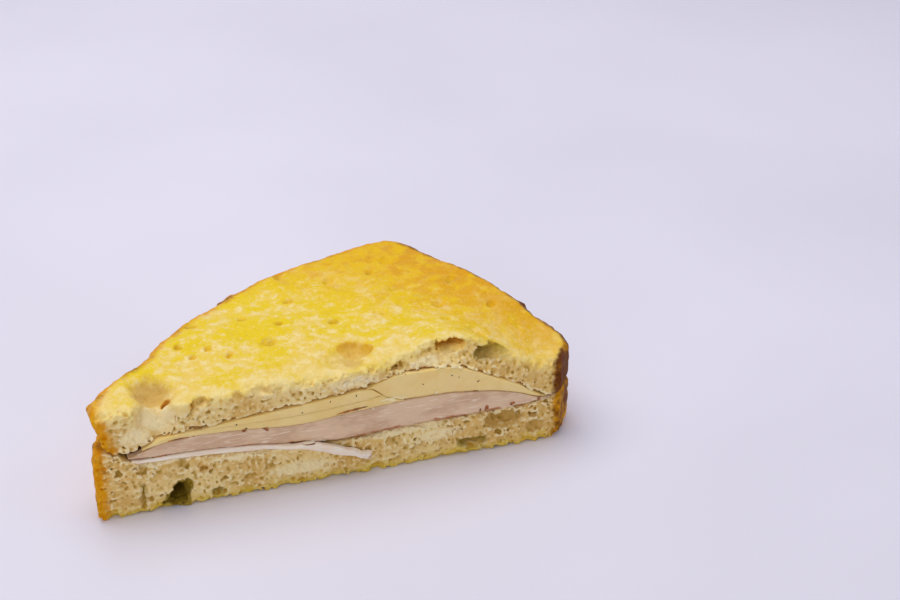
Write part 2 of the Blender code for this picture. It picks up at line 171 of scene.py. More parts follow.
@dataclass
class CrustLine:
    """The crust seen from above, with tables of the distance to it and the run along it."""

    knots: Points = (
        (0.0, 4.0), (1.4, 9.0), (5.0, 15.0), (10.6, 20.4), (18.6, 26.2), (27.2, 37.2),
        (39.2, 50.4), (50.1, 57.9), (64.0, 67.4), (79.9, 75.8), (94.5, 80.6), (106.0, 84.4),
        (114.0, 85.2), (122.0, 81.0), (130.0, 68.0), (141.0, 44.0), (150.6, 24.0), (155.6, 15.2),
        (156.0, 10.2),
    )
    cut_ends: Points = ((0.0, 0.0), (148.6, 0.0))
    between_knots: int = 12
    samples: int = 241
    step: float = 0.5
    low: tuple[float, float] = (-14.0, -14.0)
    high: tuple[float, float] = (172.0, 100.0)
    front: float = -16.0

    def __post_init__(self) -> None:
        """Draw the curve and fill the tables."""
        curve = self._curve()
        left, right = np.array(self.cut_ends)
        slope = curve[-1] - right
        end = right + slope * (self.front / slope[1])
        rim = np.vstack([[(left[0], self.front)], curve, [end]])
        self.axes = [np.arange(low, high, self.step) for low, high in zip(self.low, self.high)]
        grid = np.stack(np.meshgrid(*self.axes, indexing="ij"), axis=-1)
        best = np.full(grid.shape[:2], np.inf)
        self.run = np.zeros(grid.shape[:2])
        lengths = np.concatenate([[0.0], np.cumsum(np.linalg.norm(np.diff(rim, axis=0), axis=1))])
        for start, stop, length in zip(rim, rim[1:], lengths):
            span = stop - start
            share = np.clip(((grid - start) @ span) / (span @ span), 0.0, 1.0)
            apart = np.linalg.norm(grid - start - share[..., None] * span, axis=-1)
            nearer = apart < best
            best[nearer] = apart[nearer]
            self.run[nearer] = (length + share * np.linalg.norm(span))[nearer]
        self.inward = np.where(self._inside(grid, rim), best, -best)
        self.run -= lengths[1]
        self.length = float(lengths[-2] - lengths[1])

    def _curve(self) -> Array:
        """A smooth curve through the knots, at equal steps.

        Returns:
            The curve's points.
        """
        knots = np.array(self.knots)
        padded = np.vstack([2 * knots[0] - knots[1], knots, 2 * knots[-1] - knots[-2]])
        fine = []
        for before, start, end, after in zip(padded, padded[1:], padded[2:], padded[3:]):
            for t in np.linspace(0.0, 1.0, self.between_knots, endpoint=False):
                fine.append(0.5 * (
                    2 * start + (end - before) * t
                    + (2 * before - 5 * start + 4 * end - after) * t ** 2
                    + (3 * start - before - 3 * end + after) * t ** 3
                ))
        fine = np.array(fine + [knots[-1]])
        lengths = np.concatenate([[0.0], np.cumsum(np.linalg.norm(np.diff(fine, axis=0), axis=1))])
        steps = np.linspace(0.0, lengths[-1], self.samples)
        return np.column_stack([np.interp(steps, lengths, fine[:, axis]) for axis in (0, 1)])

    @staticmethod
    def _inside(grid: Array, ring: Array) -> Array:
        """Which grid places a closed ring holds.

        Args:
            grid: The places.
            ring: The ring's corners.

        Returns:
            True for each place that it holds.
        """
        inside = np.zeros(grid.shape[:2], bool)
        for start, stop in zip(ring, np.roll(ring, -1, axis=0)):
            if start[1] == stop[1]:
                continue
            crossed = (start[1] > grid[..., 1]) != (stop[1] > grid[..., 1])
            slope = (stop[0] - start[0]) / (stop[1] - start[1])
            inside ^= crossed & (grid[..., 0] < start[0] + (grid[..., 1] - start[1]) * slope)
        return inside

    def _read(self, table: Array, s: Array | float, n: Array | float) -> Array:
        """Read a table between its grid places.

        Args:
            table: Values over the grid.
            s: Places along the cut.
            n: Places into the food.

        Returns:
            The value at each place.
        """
        s, n = np.broadcast_arrays(s, n)
        a = np.clip((s - self.low[0]) / self.step, 0.0, table.shape[0] - 1.001)
        b = np.clip((n - self.low[1]) / self.step, 0.0, table.shape[1] - 1.001)
        i, j = a.astype(np.int32), b.astype(np.int32)
        a, b = a - i, b - j
        near = mix(table[i, j], table[i + 1, j], a)
        far = mix(table[i, j + 1], table[i + 1, j + 1], a)
        return mix(near, far, b)

    def inset(self, s: Array | float, n: Array | float) -> Array:
        """How far a place lies inside the crust; below 0 outside it."""
        return self._read(self.inward, s, n)

    def along(self, s: Array | float, n: Array | float) -> Array:
        """How far along the crust its nearest point is."""
        return self._read(self.run, s, n)


@dataclass
class Layers:
    """The heights of every surface between the floor and the toasted top.

    Each filling's surface has one profile at the cut and one deep inside. The rolls at the rim
    are a width and a drop, the press at the right is a start, an end, a reach inwards and a
    drop, and the ridge is a place, a reach and a height.
    """

    crust: CrustLine
    lumps: Lumps
    top_height: float = 37.4
    pinch: float = 12.0
    half_gap: float = 0.12
    left_shut: tuple[float, float] = (6.0, 14.0)
    deep_from: float = 36.0
    top_wave: float = 0.7
    crust_roll: tuple[float, float] = (3.2, 1.3)
    front_roll: tuple[float, float] = (7.0, 1.5)
    press: tuple[float, float, float, float] = (116.0, 150.0, 46.0, 9.6)
    ridge: tuple[float, float, float, float] = (107.0, 8.0, 24.0, 2.4)
    foot_lift: float = 0.7
    foot_rags: float = 1.6
    seam: Profile = Profile([
        (0.0, 22.9), (5.0, 22.5), (10.0, 20.6), (14.0, 20.6), (20.0, 21.2), (60.0, 18.8),
        (105.0, 17.8), (150.0, 15.8),
    ], blur=1.2)
    over_bottom_slice: tuple[Profile, Profile] = (
        Profile([
            (0.0, 18.4), (23.0, 17.2), (33.0, 16.7), (47.0, 15.2), (63.0, 14.0), (73.0, 12.7),
            (82.0, 13.0), (97.0, 13.9), (150.0, 14.2),
        ]),
        Profile([(0.0, 14.3), (150.0, 14.3)]),
    )
    under_turkey: tuple[Profile, Profile] = (
        Profile([
            (0.0, 20.0), (23.0, 19.3), (33.0, 19.0), (45.0, 18.0), (60.0, 15.9), (73.0, 14.2),
            (83.0, 13.9), (97.0, 14.6), (150.0, 14.8),
        ]),
        Profile([(0.0, 16.3), (54.0, 16.3), (72.0, 14.8)]),
    )
    over_turkey: tuple[Profile, Profile] = (
        Profile([
            (0.0, 20.8), (10.0, 20.8), (13.0, 21.6), (17.5, 23.2), (22.0, 24.2), (32.0, 24.6),
            (45.0, 23.7), (63.0, 21.8), (79.0, 23.0), (96.0, 24.0), (112.0, 23.7),
            (128.0, 21.4), (142.0, 17.2), (150.0, 16.0),
        ]),
        Profile([(0.0, 22.4), (54.0, 22.4), (90.0, 21.4)]),
    )
    over_cheese: tuple[Profile, Profile] = (
        Profile([
            (0.0, 22.0), (12.5, 22.4), (15.5, 23.4), (18.5, 25.2), (23.0, 25.8), (32.0, 26.4),
            (45.0, 27.4), (63.0, 28.6), (76.0, 29.6), (84.0, 30.4), (88.0, 31.4), (95.0, 33.3),
            (111.0, 32.8), (118.0, 30.8), (128.0, 25.6), (142.0, 18.8), (150.0, 17.2),
        ], blur=1.5),
        Profile([(0.0, 27.4), (54.0, 27.4), (90.0, 26.8)]),
    )

    def _layer(self, profiles: tuple[Profile, Profile], s: Array, n: Array, side: float) -> Array:
        """Height of a surface between the slices, drawn in to the seam near the crust.

        Args:
            profiles: Its height at the cut and deep inside.
            s: Places along the cut.
            n: Places into the food.
            side: How far it stands from the seam, in half gaps.

        Returns:
            The height at each place.
        """
        at_cut, deep = profiles
        inside = mix(at_cut.at(s), deep.at(s), smooth(n / self.deep_from))
        shut_from, shut_to = self.left_shut
        open_end = smooth((s - shut_from) / (shut_to - shut_from))
        fullness = smooth(self.crust.inset(s, n) / self.pinch) * open_end
        return mix(self.seam.at(s) + side * self.half_gap, inside, fullness)

    def bottom_slice_top(self, s: Array, n: Array) -> Array:
        """Where the lower slice's upper face lies."""
        return self._layer(self.over_bottom_slice, s, n, -1.0)

    def turkey_low(self, s: Array, n: Array) -> Array:
        """Where the main turkey's underside lies."""
        return self._layer(self.under_turkey, s, n, -0.4)

    def turkey_high(self, s: Array, n: Array) -> Array:
        """Where the main turkey's top lies."""
        return self._layer(self.over_turkey, s, n, 0.2)

    def cheese_high(self, s: Array, n: Array) -> Array:
        """Where the cheese's top lies."""
        return self._layer(self.over_cheese, s, n, 0.7)

    def top_slice_bottom(self, s: Array, n: Array) -> Array:
        """Where the upper slice's underside lies."""
        return self._layer(self.over_cheese, s, n, 1.0) + 0.1

    def toasted_top(self, s: Array, n: Array) -> Array:
        """Where the toasted upper face lies, without its fine relief.

        Args:
            s: Places along the cut.
            n: Places into the food.

        Returns:
            The height at each place.
        """
        start, end, reach, drop = self.press
        pressed = drop * smooth((s - start) / (end - start)) * (1.0 - smooth(n / reach))
        ridge_s, ridge_n, ridge_size, ridge_height = self.ridge
        raised = ridge_height * (1.0 - smooth(np.hypot(s - ridge_s, n - ridge_n) / ridge_size))
        wave = self.top_wave * (
            self.lumps.at((s, n, 3.0), 17.0) + 0.5 * self.lumps.at((s, n, 40.0), 8.0)
        )
        roll_width, roll_drop = self.crust_roll
        roll = roll_drop * (1.0 - smooth(self.crust.inset(s, n) / roll_width)) ** 2
        front_width, front_drop = self.front_roll
        front = front_drop * (1.0 - smooth(n / front_width)) ** 2
        return self.top_height + wave + raised - pressed - roll - front

    def underside(self, s: Array, n: Array) -> Array:
        """Where the lower face lies: flat on the floor, ragged and lifted at its rim.

        Args:
            s: Places along the cut.
            n: Places into the food.

        Returns:
            The height at each place.
        """
        rim = np.minimum(self.crust.inset(s, n), n + 1.5)
        ragged = np.maximum(self.lumps.at((s, n, 80.0), 2.6), 0.0) * (1.0 - smooth(n / 2.5))
        return self.foot_lift * (1.0 - smooth(rim / 3.0)) ** 2 + self.foot_rags * ragged


@dataclass(frozen=True)
class Hollow:
    """An egg-shaped hole.

    It is turned about the vertical and tilted, which lifts its end with the larger s, both in
    degrees. Its shade and browning colours it: 1 is browned, partly real browning and partly
    painted shade, -1 is a dull, dark yellow of painted shade and 0 is that of the crumb round it.
    The rim is how wide its edge is rounded, and nothing is cut out below its floor.
    """

    centre: tuple[float, float, float]
    radii: tuple[float, float, float]
    turn: float = 0.0
    tone: float = 0.0
    rim: float = 0.7
    floor: float = -9.0
    tilt: float = 0.0

    def distance(self, s: Array, n: Array, z: Array) -> Array:
        """How far outside the egg each place is; below 0 inside it.

        Args:
            s: Places along the cut.
            n: Places into the food.
            z: Heights above the floor.

        Returns:
            The distance of each place.
        """
        angle, tilt = math.radians(self.turn), math.radians(self.tilt)
        across, inward, rise = s - self.centre[0], n - self.centre[1], z - self.centre[2]
        along = across * math.cos(tilt) + rise * math.sin(tilt)
        up = rise * math.cos(tilt) - across * math.sin(tilt)
        turned = (
            along * math.cos(angle) + inward * math.sin(angle),
            inward * math.cos(angle) - along * math.sin(angle),
            up,
        )
        squares = sum((part / radius) ** 2 for part, radius in zip(turned, self.radii))
        steep = sum((part / radius ** 2) ** 2 for part, radius in zip(turned, self.radii))
        reach = np.sqrt(squares)
        return reach * (reach - 1.0) / np.maximum(np.sqrt(steep), 1e-4)


@dataclass(frozen=True)
class Pores:
    """Holes of a crumb.

    A share of them is missing, the wall is the least that stays between two of them, they lie
    no deeper than the depth from the cut, and each is wider than high by the flatness.
    """

    spacing: float
    radii: tuple[float, float]
    missing: float
    wall: float
    depth: float
    flatness: float
    seed: int

    def distance(self, s: Array, n: Array, z: Array, face: Surface) -> Array:
        """How far outside every pore each place is.

        Args:
            s: Places along the cut.
            n: Places into the food.
            z: Heights.
            face: Where the cut face stands, from the place along it and the height.

        Returns:
            The distance to the nearest pore's wall; below 0 inside a pore.
        """
        rng = np.random.default_rng(self.seed)
        size = 72
        jitter = rng.random((size, size, size, 3), dtype=np.float32)
        radius = mix(*self.radii, rng.random((size,) * 3, dtype=np.float32) ** 1.6)
        radius[rng.random((size,) * 3) < self.missing] = -9.0
        steps = (self.spacing, self.spacing, self.spacing / self.flatness)
        home = [np.floor(place / step).astype(np.int32) for place, step in zip((s, n, z), steps)]
        first = np.full(s.shape, 9.0, np.float32)
        second = np.full(s.shape, 9.0, np.float32)
        for offset in itertools.product((-1, 0, 1), repeat=3):
            cell = [at + step for at, step in zip(home, offset)]
            index = tuple(at % size for at in cell)
            seed = [(at + jitter[index + (axis,)]) * steps[axis] for axis, at in enumerate(cell)]
            behind = seed[1] - face(seed[0], seed[2])
            own = np.where((behind < self.depth) & (behind > -2.5), radius[index], -9.0)
            flat = (z - seed[2]) * self.flatness
            apart = np.sqrt((s - seed[0]) ** 2 + (n - seed[1]) ** 2 + flat * flat) - own
            second = np.minimum(second, np.maximum(first, apart))
            first = np.minimum(first, apart)
        return np.maximum(first, (self.wall - (second - first)) * 0.5)


class Body:
    """A solid given as a field over a grid of places: below 0 inside."""

    def __init__(self, axes: Sequence[Array]) -> None:
        """Lay out the grid.

        Args:
            axes: The grid's steps along, into and above the cut's start.
        """
        self.axes = [axis.astype(np.float32) for axis in axes]
        self.places = np.meshgrid(*self.axes, indexing="ij", sparse=True)
        self.field = np.zeros([len(axis) for axis in self.axes], np.float32)

    def window(self, low: Sequence[float], high: Sequence[float]) -> tuple[slice, slice, slice]:
        """The part of the grid between two corners.

        Args:
            low: The lower corner.
            high: The upper corner.

        Returns:
            A slice of each axis.
        """
        return tuple(
            slice(int(np.searchsorted(axis, a)), int(np.searchsorted(axis, b)))
            for axis, a, b in zip(self.axes, low, high)
        )

    def in_window(self, window: tuple[slice, slice, slice]) -> list[Array]:
        """The places of a part of the grid."""
        parts = [axis[part] for axis, part in zip(self.axes, window)]
        return list(np.meshgrid(*parts, indexing="ij"))

    def close(self) -> None:
        """Leave nothing solid at the grid's rim."""
        for axis in range(3):
            for end in (0, -1):
                rim = [slice(None)] * 3
                rim[axis] = end
                self.field[tuple(rim)] = np.maximum(self.field[tuple(rim)], 0.2)

    def crowding(self, reach: int) -> Array:
        """The share of solid within some grid steps of every place.

        Args:
            reach: How many steps it looks to each side.

        Returns:
            The share at every place.
        """
        total = (self.field < 0.0).astype(np.float32)
        for axis in range(3):
            padding = [(0, 0)] * 3
            padding[axis] = (reach + 1, reach)
            summed = np.cumsum(np.pad(total, padding, mode="edge"), axis=axis, dtype=np.float64)
            count = total.shape[axis]
            upper = np.take(summed, np.arange(2 * reach + 1, 2 * reach + 1 + count), axis=axis)
            lower = np.take(summed, np.arange(count), axis=axis)
            total = ((upper - lower) / (2 * reach + 1)).astype(np.float32)
        return total

    def read(self, table: Array, points: Array) -> Array:
        """Read a table of the grid at points.

        Args:
            table: Values over the grid.
            points: Places, one a row.

        Returns:
            The value at each point.
        """
        cells, blends = [], []
        for axis, places in zip(self.axes, points.T):
            at = np.interp(places, axis, np.arange(len(axis)))
            cell = np.clip(at.astype(np.int32), 0, len(axis) - 2)
            cells.append(cell)
            blends.append(at - cell)
        total = 0.0
        for corner in itertools.product((0, 1), repeat=3):
            weight = 1.0
            for bit, blend in zip(corner, blends):
                weight = weight * (blend if bit else 1.0 - blend)
            total = total + weight * table[tuple(cell + bit for cell, bit in zip(cells, corner))]
        return total

    def skin(self) -> tuple[Array, Array]:
        """The surface of the solid.

        Returns:
            Its points and its four-sided faces.
        """
        self.close()
        inside = self.field < 0.0
        shape = [size - 1 for size in inside.shape]
        corners = [
            inside[tuple(slice(bit, bit + size) for bit, size in zip(corner, shape))]
            for corner in itertools.product((0, 1), repeat=3)
        ]
        count = sum(corner.astype(np.uint8) for corner in corners)
        active = (count > 0) & (count < 8)
        cells = np.argwhere(active)
        index = np.full(active.shape, -1, np.int64)
        index[active] = np.arange(len(cells))
        total, hits = np.zeros((len(cells), 3)), np.zeros(len(cells))
        for axis in range(3):
            step = np.eye(3, dtype=int)[axis]
            for pair in itertools.product((0, 1), repeat=2):
                start = cells + np.insert(pair, axis, 0)
                before, after = self.field[tuple(start.T)], self.field[tuple((start + step).T)]
                crossed = (before < 0.0) != (after < 0.0)
                share = before[crossed] / (before[crossed] - after[crossed])
                total[crossed] += start[crossed] + share[:, None] * step
                hits[crossed] += 1
        at = total / hits[:, None]
        points = np.column_stack([
            np.interp(at[:, axis], np.arange(len(places)), places)
            for axis, places in enumerate(self.axes)
        ])
        return self._largest(points, np.concatenate(self._faces(inside, index)))

    @staticmethod
    def _faces(inside: Array, index: Array) -> list[Array]:
        """The faces that cross the grid's edges, for each direction.

        Args:
            inside: Which places are solid.
            index: The number of each cell's point.

        Returns:
            The faces, as the numbers of their points.
        """
        found = []
        for axis in range(3):
            others = [(axis + 1) % 3, (axis + 2) % 3]
            low = np.take(inside, np.arange(inside.shape[axis] - 1), axis=axis)
            high = np.take(inside, np.arange(1, inside.shape[axis]), axis=axis)
            edges = np.argwhere(low != high)
            ring = []
            for back in ((0, 0), (1, 0), (1, 1), (0, 1)):
                cell = edges.copy()
                cell[:, others[0]] -= back[0]
                cell[:, others[1]] -= back[1]
                ring.append(index[tuple(cell.T)])
            faces = np.column_stack(ring)
            outward = low[tuple(edges.T)]
            found.append(np.where(outward[:, None], faces, faces[:, ::-1]))
        return found

    @staticmethod
    def _largest(points: Array, faces: Array) -> tuple[Array, Array]:
        """Leave out every loose speck.

        Args:
            points: The surface's points.
            faces: Its faces.

        Returns:
            The points and faces of its largest part.
        """
        label = np.arange(len(points))
        while True:
            lowest = label[faces].min(axis=1)
            joined = label.copy()
            for column in faces.T:
                np.minimum.at(joined, column, lowest)
            joined = joined[joined]
            if (joined == label).all():
                break
            label = joined
        kept = label == np.bincount(label).argmax()
        renamed = np.cumsum(kept) - 1
        return points[kept], renamed[faces[kept[faces[:, 0]]]]


def spaced(start: float, stop: float, fine: float, coarse: float, fine_to: float) -> Array:
    """Places that are close together up to a limit and then spread out.

    Args:
        start: The first place.
        stop: The last place.
        fine: The step at the start.
        coarse: The widest step.
        fine_to: Where the steps begin to widen.

    Returns:
        The places.
    """
    places, step = [start], fine
    while places[-1] < stop:
        if places[-1] > fine_to:
            step = min(step * 1.06, coarse)
        places.append(places[-1] + step)
    return np.array(places)


def piece_from(name: str, points: Array, faces: Array | list[list[int]]) -> bpy.types.Object:
    """A piece of the food, moved to the frame.

    Args:
        name: The piece's name.
        points: Its points in millimetres along, into and above the cut's start.
        faces: Its faces.

    Returns:
        The new object.
    """
    moved = (np.asarray(points) + np.array([*CUT_START, 0.0])) * MM
    mesh = bpy.data.meshes.new(name)
    mesh.from_pydata(moved.tolist(), [], faces if isinstance(faces, list) else faces.tolist())
    mesh.shade_smooth()
    made = bpy.data.objects.new(name, mesh)
    bpy.context.scene.collection.objects.link(made)
    return made


def points_of(piece: bpy.types.Object) -> Array:
    """A piece's points in millimetres along, into and above the cut's start.

    Args:
        piece: The piece.

    Returns:
        One row for each point.
    """
    flat = np.empty(len(piece.data.vertices) * 3, np.float32)
    piece.data.vertices.foreach_get("co", flat)
    return flat.reshape(-1, 3) / MM - np.array([*CUT_START, 0.0])


def mark(piece: bpy.types.Object, **values: Array) -> None:
    """Store values on a piece's points for its finish to read.

    Args:
        piece: The piece.
        values: What is stored, by its name.
    """
    for name, numbers in values.items():
        stored = piece.data.attributes.new(name, "FLOAT", "POINT")
        stored.data.foreach_set("value", np.asarray(numbers, np.float32))


def dress(
    piece: bpy.types.Object, finish: bpy.types.Material, node: str | None = None
) -> None:
    """Give a piece its finish and body, and hide the node that it stands for.

    Args:
        piece: The piece.
        finish: Its material.
        node: The node, if there is one.
    """
    piece.data.materials.append(finish)
    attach(piece, "root")
    if node is not None:
        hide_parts(node)
    LOG.info("%s: %d faces", piece.name, len(piece.data.polygons))


def thin_out(piece: bpy.types.Object, most: int) -> None:
    """Bring a piece down to a number of triangles.

    Args:
        piece: The piece.
        most: How many triangles it may have.
    """
    piece.data.calc_loop_triangles()
    count = len(piece.data.loop_triangles)
    if count <= most:
        return
    fewer = piece.modifiers.new("fewer", "DECIMATE")
    fewer.ratio = most / count
    fewer.use_collapse_triangulate = True
    view = piece.evaluated_get(bpy.context.evaluated_depsgraph_get())
    mesh = bpy.data.meshes.new_from_object(view)
    piece.modifiers.clear()
    old, piece.data = piece.data, mesh
    bpy.data.meshes.remove(old)
    piece.data.shade_smooth()


@dataclass
class Crumb:
    """What the two slices of bread have in common.

    A bright zone is a place on the cut, a half width and a half height. The crags grow by the
    nose's share towards the left end, and everything at the crust fades towards the cut.
    """

    layers: Layers
    name: str = "bread"
    node: str = "bread_bottom"
    toasted: Side = Side.BELOW
    seed: int = 3
    along_cut: tuple[float, float] = (-3.5, 161.0)
    into_food: tuple[float, float] = (-2.2, 90.0)
    heights: tuple[float, float] = (-0.6, 24.5)
    step: float = 0.3
    coarse_step: float = 0.8
    fine_to: float = 4.0
    most_triangles: int = 190_000
    bright: tuple[tuple[float, float, float, float], ...] = ()
    hollows: tuple[Hollow, ...] = ()
    pores: tuple[Pores, ...] = ()
    pores_to: float = 5.0
    pore_warp: float = 0.55
    pit_size: float = 0.6
    rim_width: Profile = Profile([
        (0.0, 4.6), (20.0, 4.6), (34.0, 4.6), (60.0, 4.2), (120.0, 3.8), (140.0, 2.8), (150.0, 2.8),
    ])
    swell: float = 1.3
    crags: float = 1.0
    nose_crags: float = 0.2
    nose_length: float = 45.0
    crust_fade: float = 9.0
    upright_round: float = 2.2
    top_round: float = 1.5
    cut_round: float = 1.5

    def __post_init__(self) -> None:
        """Take over the crust line and draw the noise."""
        self.crust = self.layers.crust
        self.lumps = Lumps(self.seed)

    def low(self, s: Array, n: Array) -> Array:
        """The slice's lower face."""
        raise NotImplementedError

    def high(self, s: Array, n: Array) -> Array:
        """The slice's upper face."""
        raise NotImplementedError

    def face(self, s: Array, z: Array) -> Array:
        """Where the cut face stands, without its fine relief."""
        return 0.35 * self.lumps.at((s, z, 9.0), 7.0)

    def lean(self, s: Array, z: Array) -> Array:
        """How far the slice is pushed along the cut at a height."""
        return np.float32(0.0)

    def _shape(self, body: Body) -> None:
        """Fill the field with the slice's plain outside.

        Args:
            body: The slice's body.
        """
        s, n, z = body.places
        low, high = self.low(s, n).astype(np.float32), self.high(s, n).astype(np.float32)
        share = np.clip((z - low) / np.maximum(high - low, 0.5), 0.0, 1.0)
        pushed = s - self.lean(s, z)
        edge = -self.crust.inset(pushed, n).astype(np.float32)
        near = np.abs(edge) < 6.0
        run = self.crust.along(s, n).astype(np.float32)
        fade = smooth(np.minimum(run, self.crust.length - run) / self.crust_fade)
        crags = self.lumps.at((run, z * 1.1, 7.0), 6.0)
        crags = crags + 0.8 * self.lumps.at((run, z * 1.1, 2.0), 2.6)
        at_nose = 1.0 - smooth(run / self.nose_length)
        crags = crags * self.crags * (1.0 + self.nose_crags * at_nose)
        swell = fade * (self.swell * np.sin(math.pi * share) + crags)
        edge = edge - np.where(near, swell, 0.0)
        upright = larger(edge, low - z, self.upright_round)
        upright = larger(upright, z - high, self.top_round)
        body.field = larger(upright, self.face(s, z) - n, self.cut_round).astype(np.float32)

    def _carve(self, body: Body) -> None:
        """Take the large hollows out of the field.

        Args:
            body: The slice's body.
        """
        for hollow in self.hollows:
            reach = max(hollow.radii) + 2.0
            window = body.window(
                [at - reach for at in hollow.centre], [at + reach for at in hollow.centre]
            )
            s, n, z = body.in_window(window)
            rough = 0.8 * self.lumps.at((s, n, z), 2.6) + 0.4 * self.lumps.at((s, n, z), 1.1)
            rough *= min(1.0, 0.8 / hollow.rim)
            floor = hollow.floor - z + 0.5 * rough
            hole = np.maximum(hollow.distance(s, n, z) + rough, floor)
            body.field[window] = larger(body.field[window], -hole, hollow.rim)

    def _pierce(self, body: Body) -> None:
        """Open the crumb's pores at the cut.

        Args:
            body: The slice's body.
        """
        window = body.window(
            (self.along_cut[0], self.into_food[0], self.heights[0]),
            (self.along_cut[1], self.pores_to, self.heights[1]),
        )
        part = body.field[window]
        near = part < 1.2
        s, n, z = [place[near] for place in body.in_window(window)]
        values = part[near]
        pits = self.lumps.at((s, n, z + 17.0), 1.3) + 0.7 * self.lumps.at((s, n, z + 45.0), 0.66)
        shallow = 1.0 - smooth((n - self.face(s, z) - 1.0) / 1.5)
        values = values + self.pit_size * smooth((pits + 0.1) / 0.7) * shallow
        tight = 0.3 * self.lumps.at((s, n, z), 8.0) - 0.08
        pushes = [
            self.pore_warp * (
                self.lumps.at((s, n, z + shift), 1.9) + 0.5 * self.lumps.at((s, n, z + shift), 0.9)
            )
            for shift in (60.0, 90.0)
        ]
        s, z = s + pushes[0], z + pushes[1]
        for pores in self.pores:
            values = larger(values, -(pores.distance(s, n, z, self.face) + tight), 0.25)
        part[near] = values

    def _roughen(self, body: Body) -> None:
        """Add the fine relief.

        Args:
            body: The slice's body.
        """
        near = np.abs(body.field) < 1.5
        at = np.nonzero(near)
        s, n, z = [axis[index] for axis, index in zip(body.axes, at)]
        fine = self.lumps.at((s, n, z), 0.8)
        middle = self.lumps.at((s, n, z + 31.0), 2.1)
        torn = 1.0 - smooth((n - self.face(s, z) - 0.5) / 2.0)
        body.field[at] += (0.11 + 0.13 * torn) * fine + (0.24 + 0.2 * torn) * middle

    def build(self, finish: BreadFinish) -> bpy.types.Object:
        """Make and dress the slice.

        Args:
            finish: Its looks.

        Returns:
            The slice.
        """
        axes = (
            np.arange(*self.along_cut, self.step),
            spaced(*self.into_food, self.step, self.coarse_step, self.fine_to),
            np.arange(*self.heights, self.step),
        )
        body = Body(axes)
        self._shape(body)
        self._carve(body)
        self._pierce(body)
        self._roughen(body)
        points, faces = body.skin()
        points[:, 2] = np.maximum(points[:, 2], 0.0)
        piece = piece_from(self.name, points, faces)
        thin_out(piece, self.most_triangles)
        self._mark(piece, body)
        dress(piece, finish.make(self.name, self.toasted), self.node)
        return piece

    def _mark(self, piece: bpy.types.Object, body: Body) -> None:
        """Store what the finish reads.

        Args:
            piece: The slice's mesh.
            body: The slice's body.
        """
        points = points_of(piece)
        s, n, z = points.T
        pushed = s - self.lean(s, z)
        # Each hollow's browning and painted shade; the painted shade is stronger towards its top.
        tone = np.zeros(len(s))
        for hollow in self.hollows:
            inside = 1.0 - smooth((hollow.distance(s, n, z) - 0.2) / 0.9)
            height = np.clip((z - hollow.centre[2]) / hollow.radii[2], -1.0, 1.0)
            tone += hollow.tone * (0.75 + 0.35 * height) * inside * (1.0 - np.abs(tone))
        bright = np.zeros(len(s))
        for along, height, width, rise in self.bright:
            apart = np.hypot((s - along) / width, (z - height) / rise)
            bright = np.maximum(bright, 1.0 - smooth(apart - 0.35))
        mark(
            piece,
            # The share of solid nearby, from which the finish paints shade in hollows and a
            # highlight on ridges.
            crowd=body.read(body.crowding(3), points),
            tone=tone,
            bright=bright * (1.0 - smooth(n / 11.0)),
            inset=self.crust.inset(pushed, n) / self.rim_width.at(s),
            behind=n - self.face(s, z),
            below=self.high(s, n) - z,
            above=z - self.low(s, n),
        )


@dataclass
class LowerSlice(Crumb):
    """The slice that the half stands on."""

    name: str = "lower_slice"
    node: str = "bread_bottom"
    seed: int = 5
    heights: tuple[float, float] = (-0.7, 24.5)
    hollows: tuple[Hollow, ...] = (
        Hollow((25.2, -1.0, 0.0), (2.4, 14.0, 8.8), tone=-1.0, floor=1.3),
        Hollow((23.4, -1.0, 2.8), (7.4, 12.0, 2.6), tone=-1.0, floor=1.1, tilt=51.0),
        Hollow((26.3, -0.3, 15.2), (0.9, 2.0, 2.2), tone=-0.5),
        Hollow((33.0, -0.3, 11.8), (1.6, 2.0, 1.3), tone=0.5),
        Hollow((13.9, -0.3, 5.4), (0.8, 2.4, 4.4), tone=-0.4),
        Hollow((14.3, -0.3, 15.4), (1.0, 1.8, 1.9), tone=-0.4),
        Hollow((36.6, -0.4, 2.6), (1.4, 2.6, 1.7), tone=-0.7),
        Hollow((46.4, -0.3, 6.2), (1.9, 1.9, 1.2)),
        Hollow((53.2, -0.3, 8.4), (2.2, 2.2, 1.5)),
        Hollow((130.0, -0.5, 9.8), (6.4, 5.2, 2.8), tone=-0.32),
        Hollow((140.6, -0.4, 5.8), (3.4, 3.2, 2.2), tone=-0.2),
        Hollow((119.0, -0.4, 4.0), (4.6, 3.0, 1.3), tone=-0.9),
        Hollow((93.4, -0.3, 9.6), (3.0, 2.2, 1.8)),
        Hollow((101.5, -0.3, 6.0), (2.6, 2.2, 1.5)),
        Hollow((84.6, -0.3, 4.2), (2.2, 2.2, 1.4)),
    )
    bright: tuple[tuple[float, float, float, float], ...] = (
        (20.0, 16.6, 12.0, 1.2), (45.0, 14.2, 12.0, 1.4), (96.0, 12.6, 16.0, 1.6),
        (64.0, 6.0, 12.0, 2.4), (108.0, 9.0, 9.0, 2.4),
    )
    pores: tuple[Pores, ...] = (
        Pores(1.2, (0.2, 0.58), 0.35, 0.2, 0.5, 1.1, 11),
        Pores(2.2, (0.3, 1.1), 0.5, 0.25, 0.6, 1.25, 12),
        Pores(5.0, (0.8, 2.1), 0.6, 0.5, 0.8, 1.4, 13),
    )

    def low(self, s: Array, n: Array) -> Array:
        """The slice's lower face."""
        return self.layers.underside(s, n)

    def high(self, s: Array, n: Array) -> Array:
        """The slice's upper face."""
        return self.layers.bottom_slice_top(s, n)


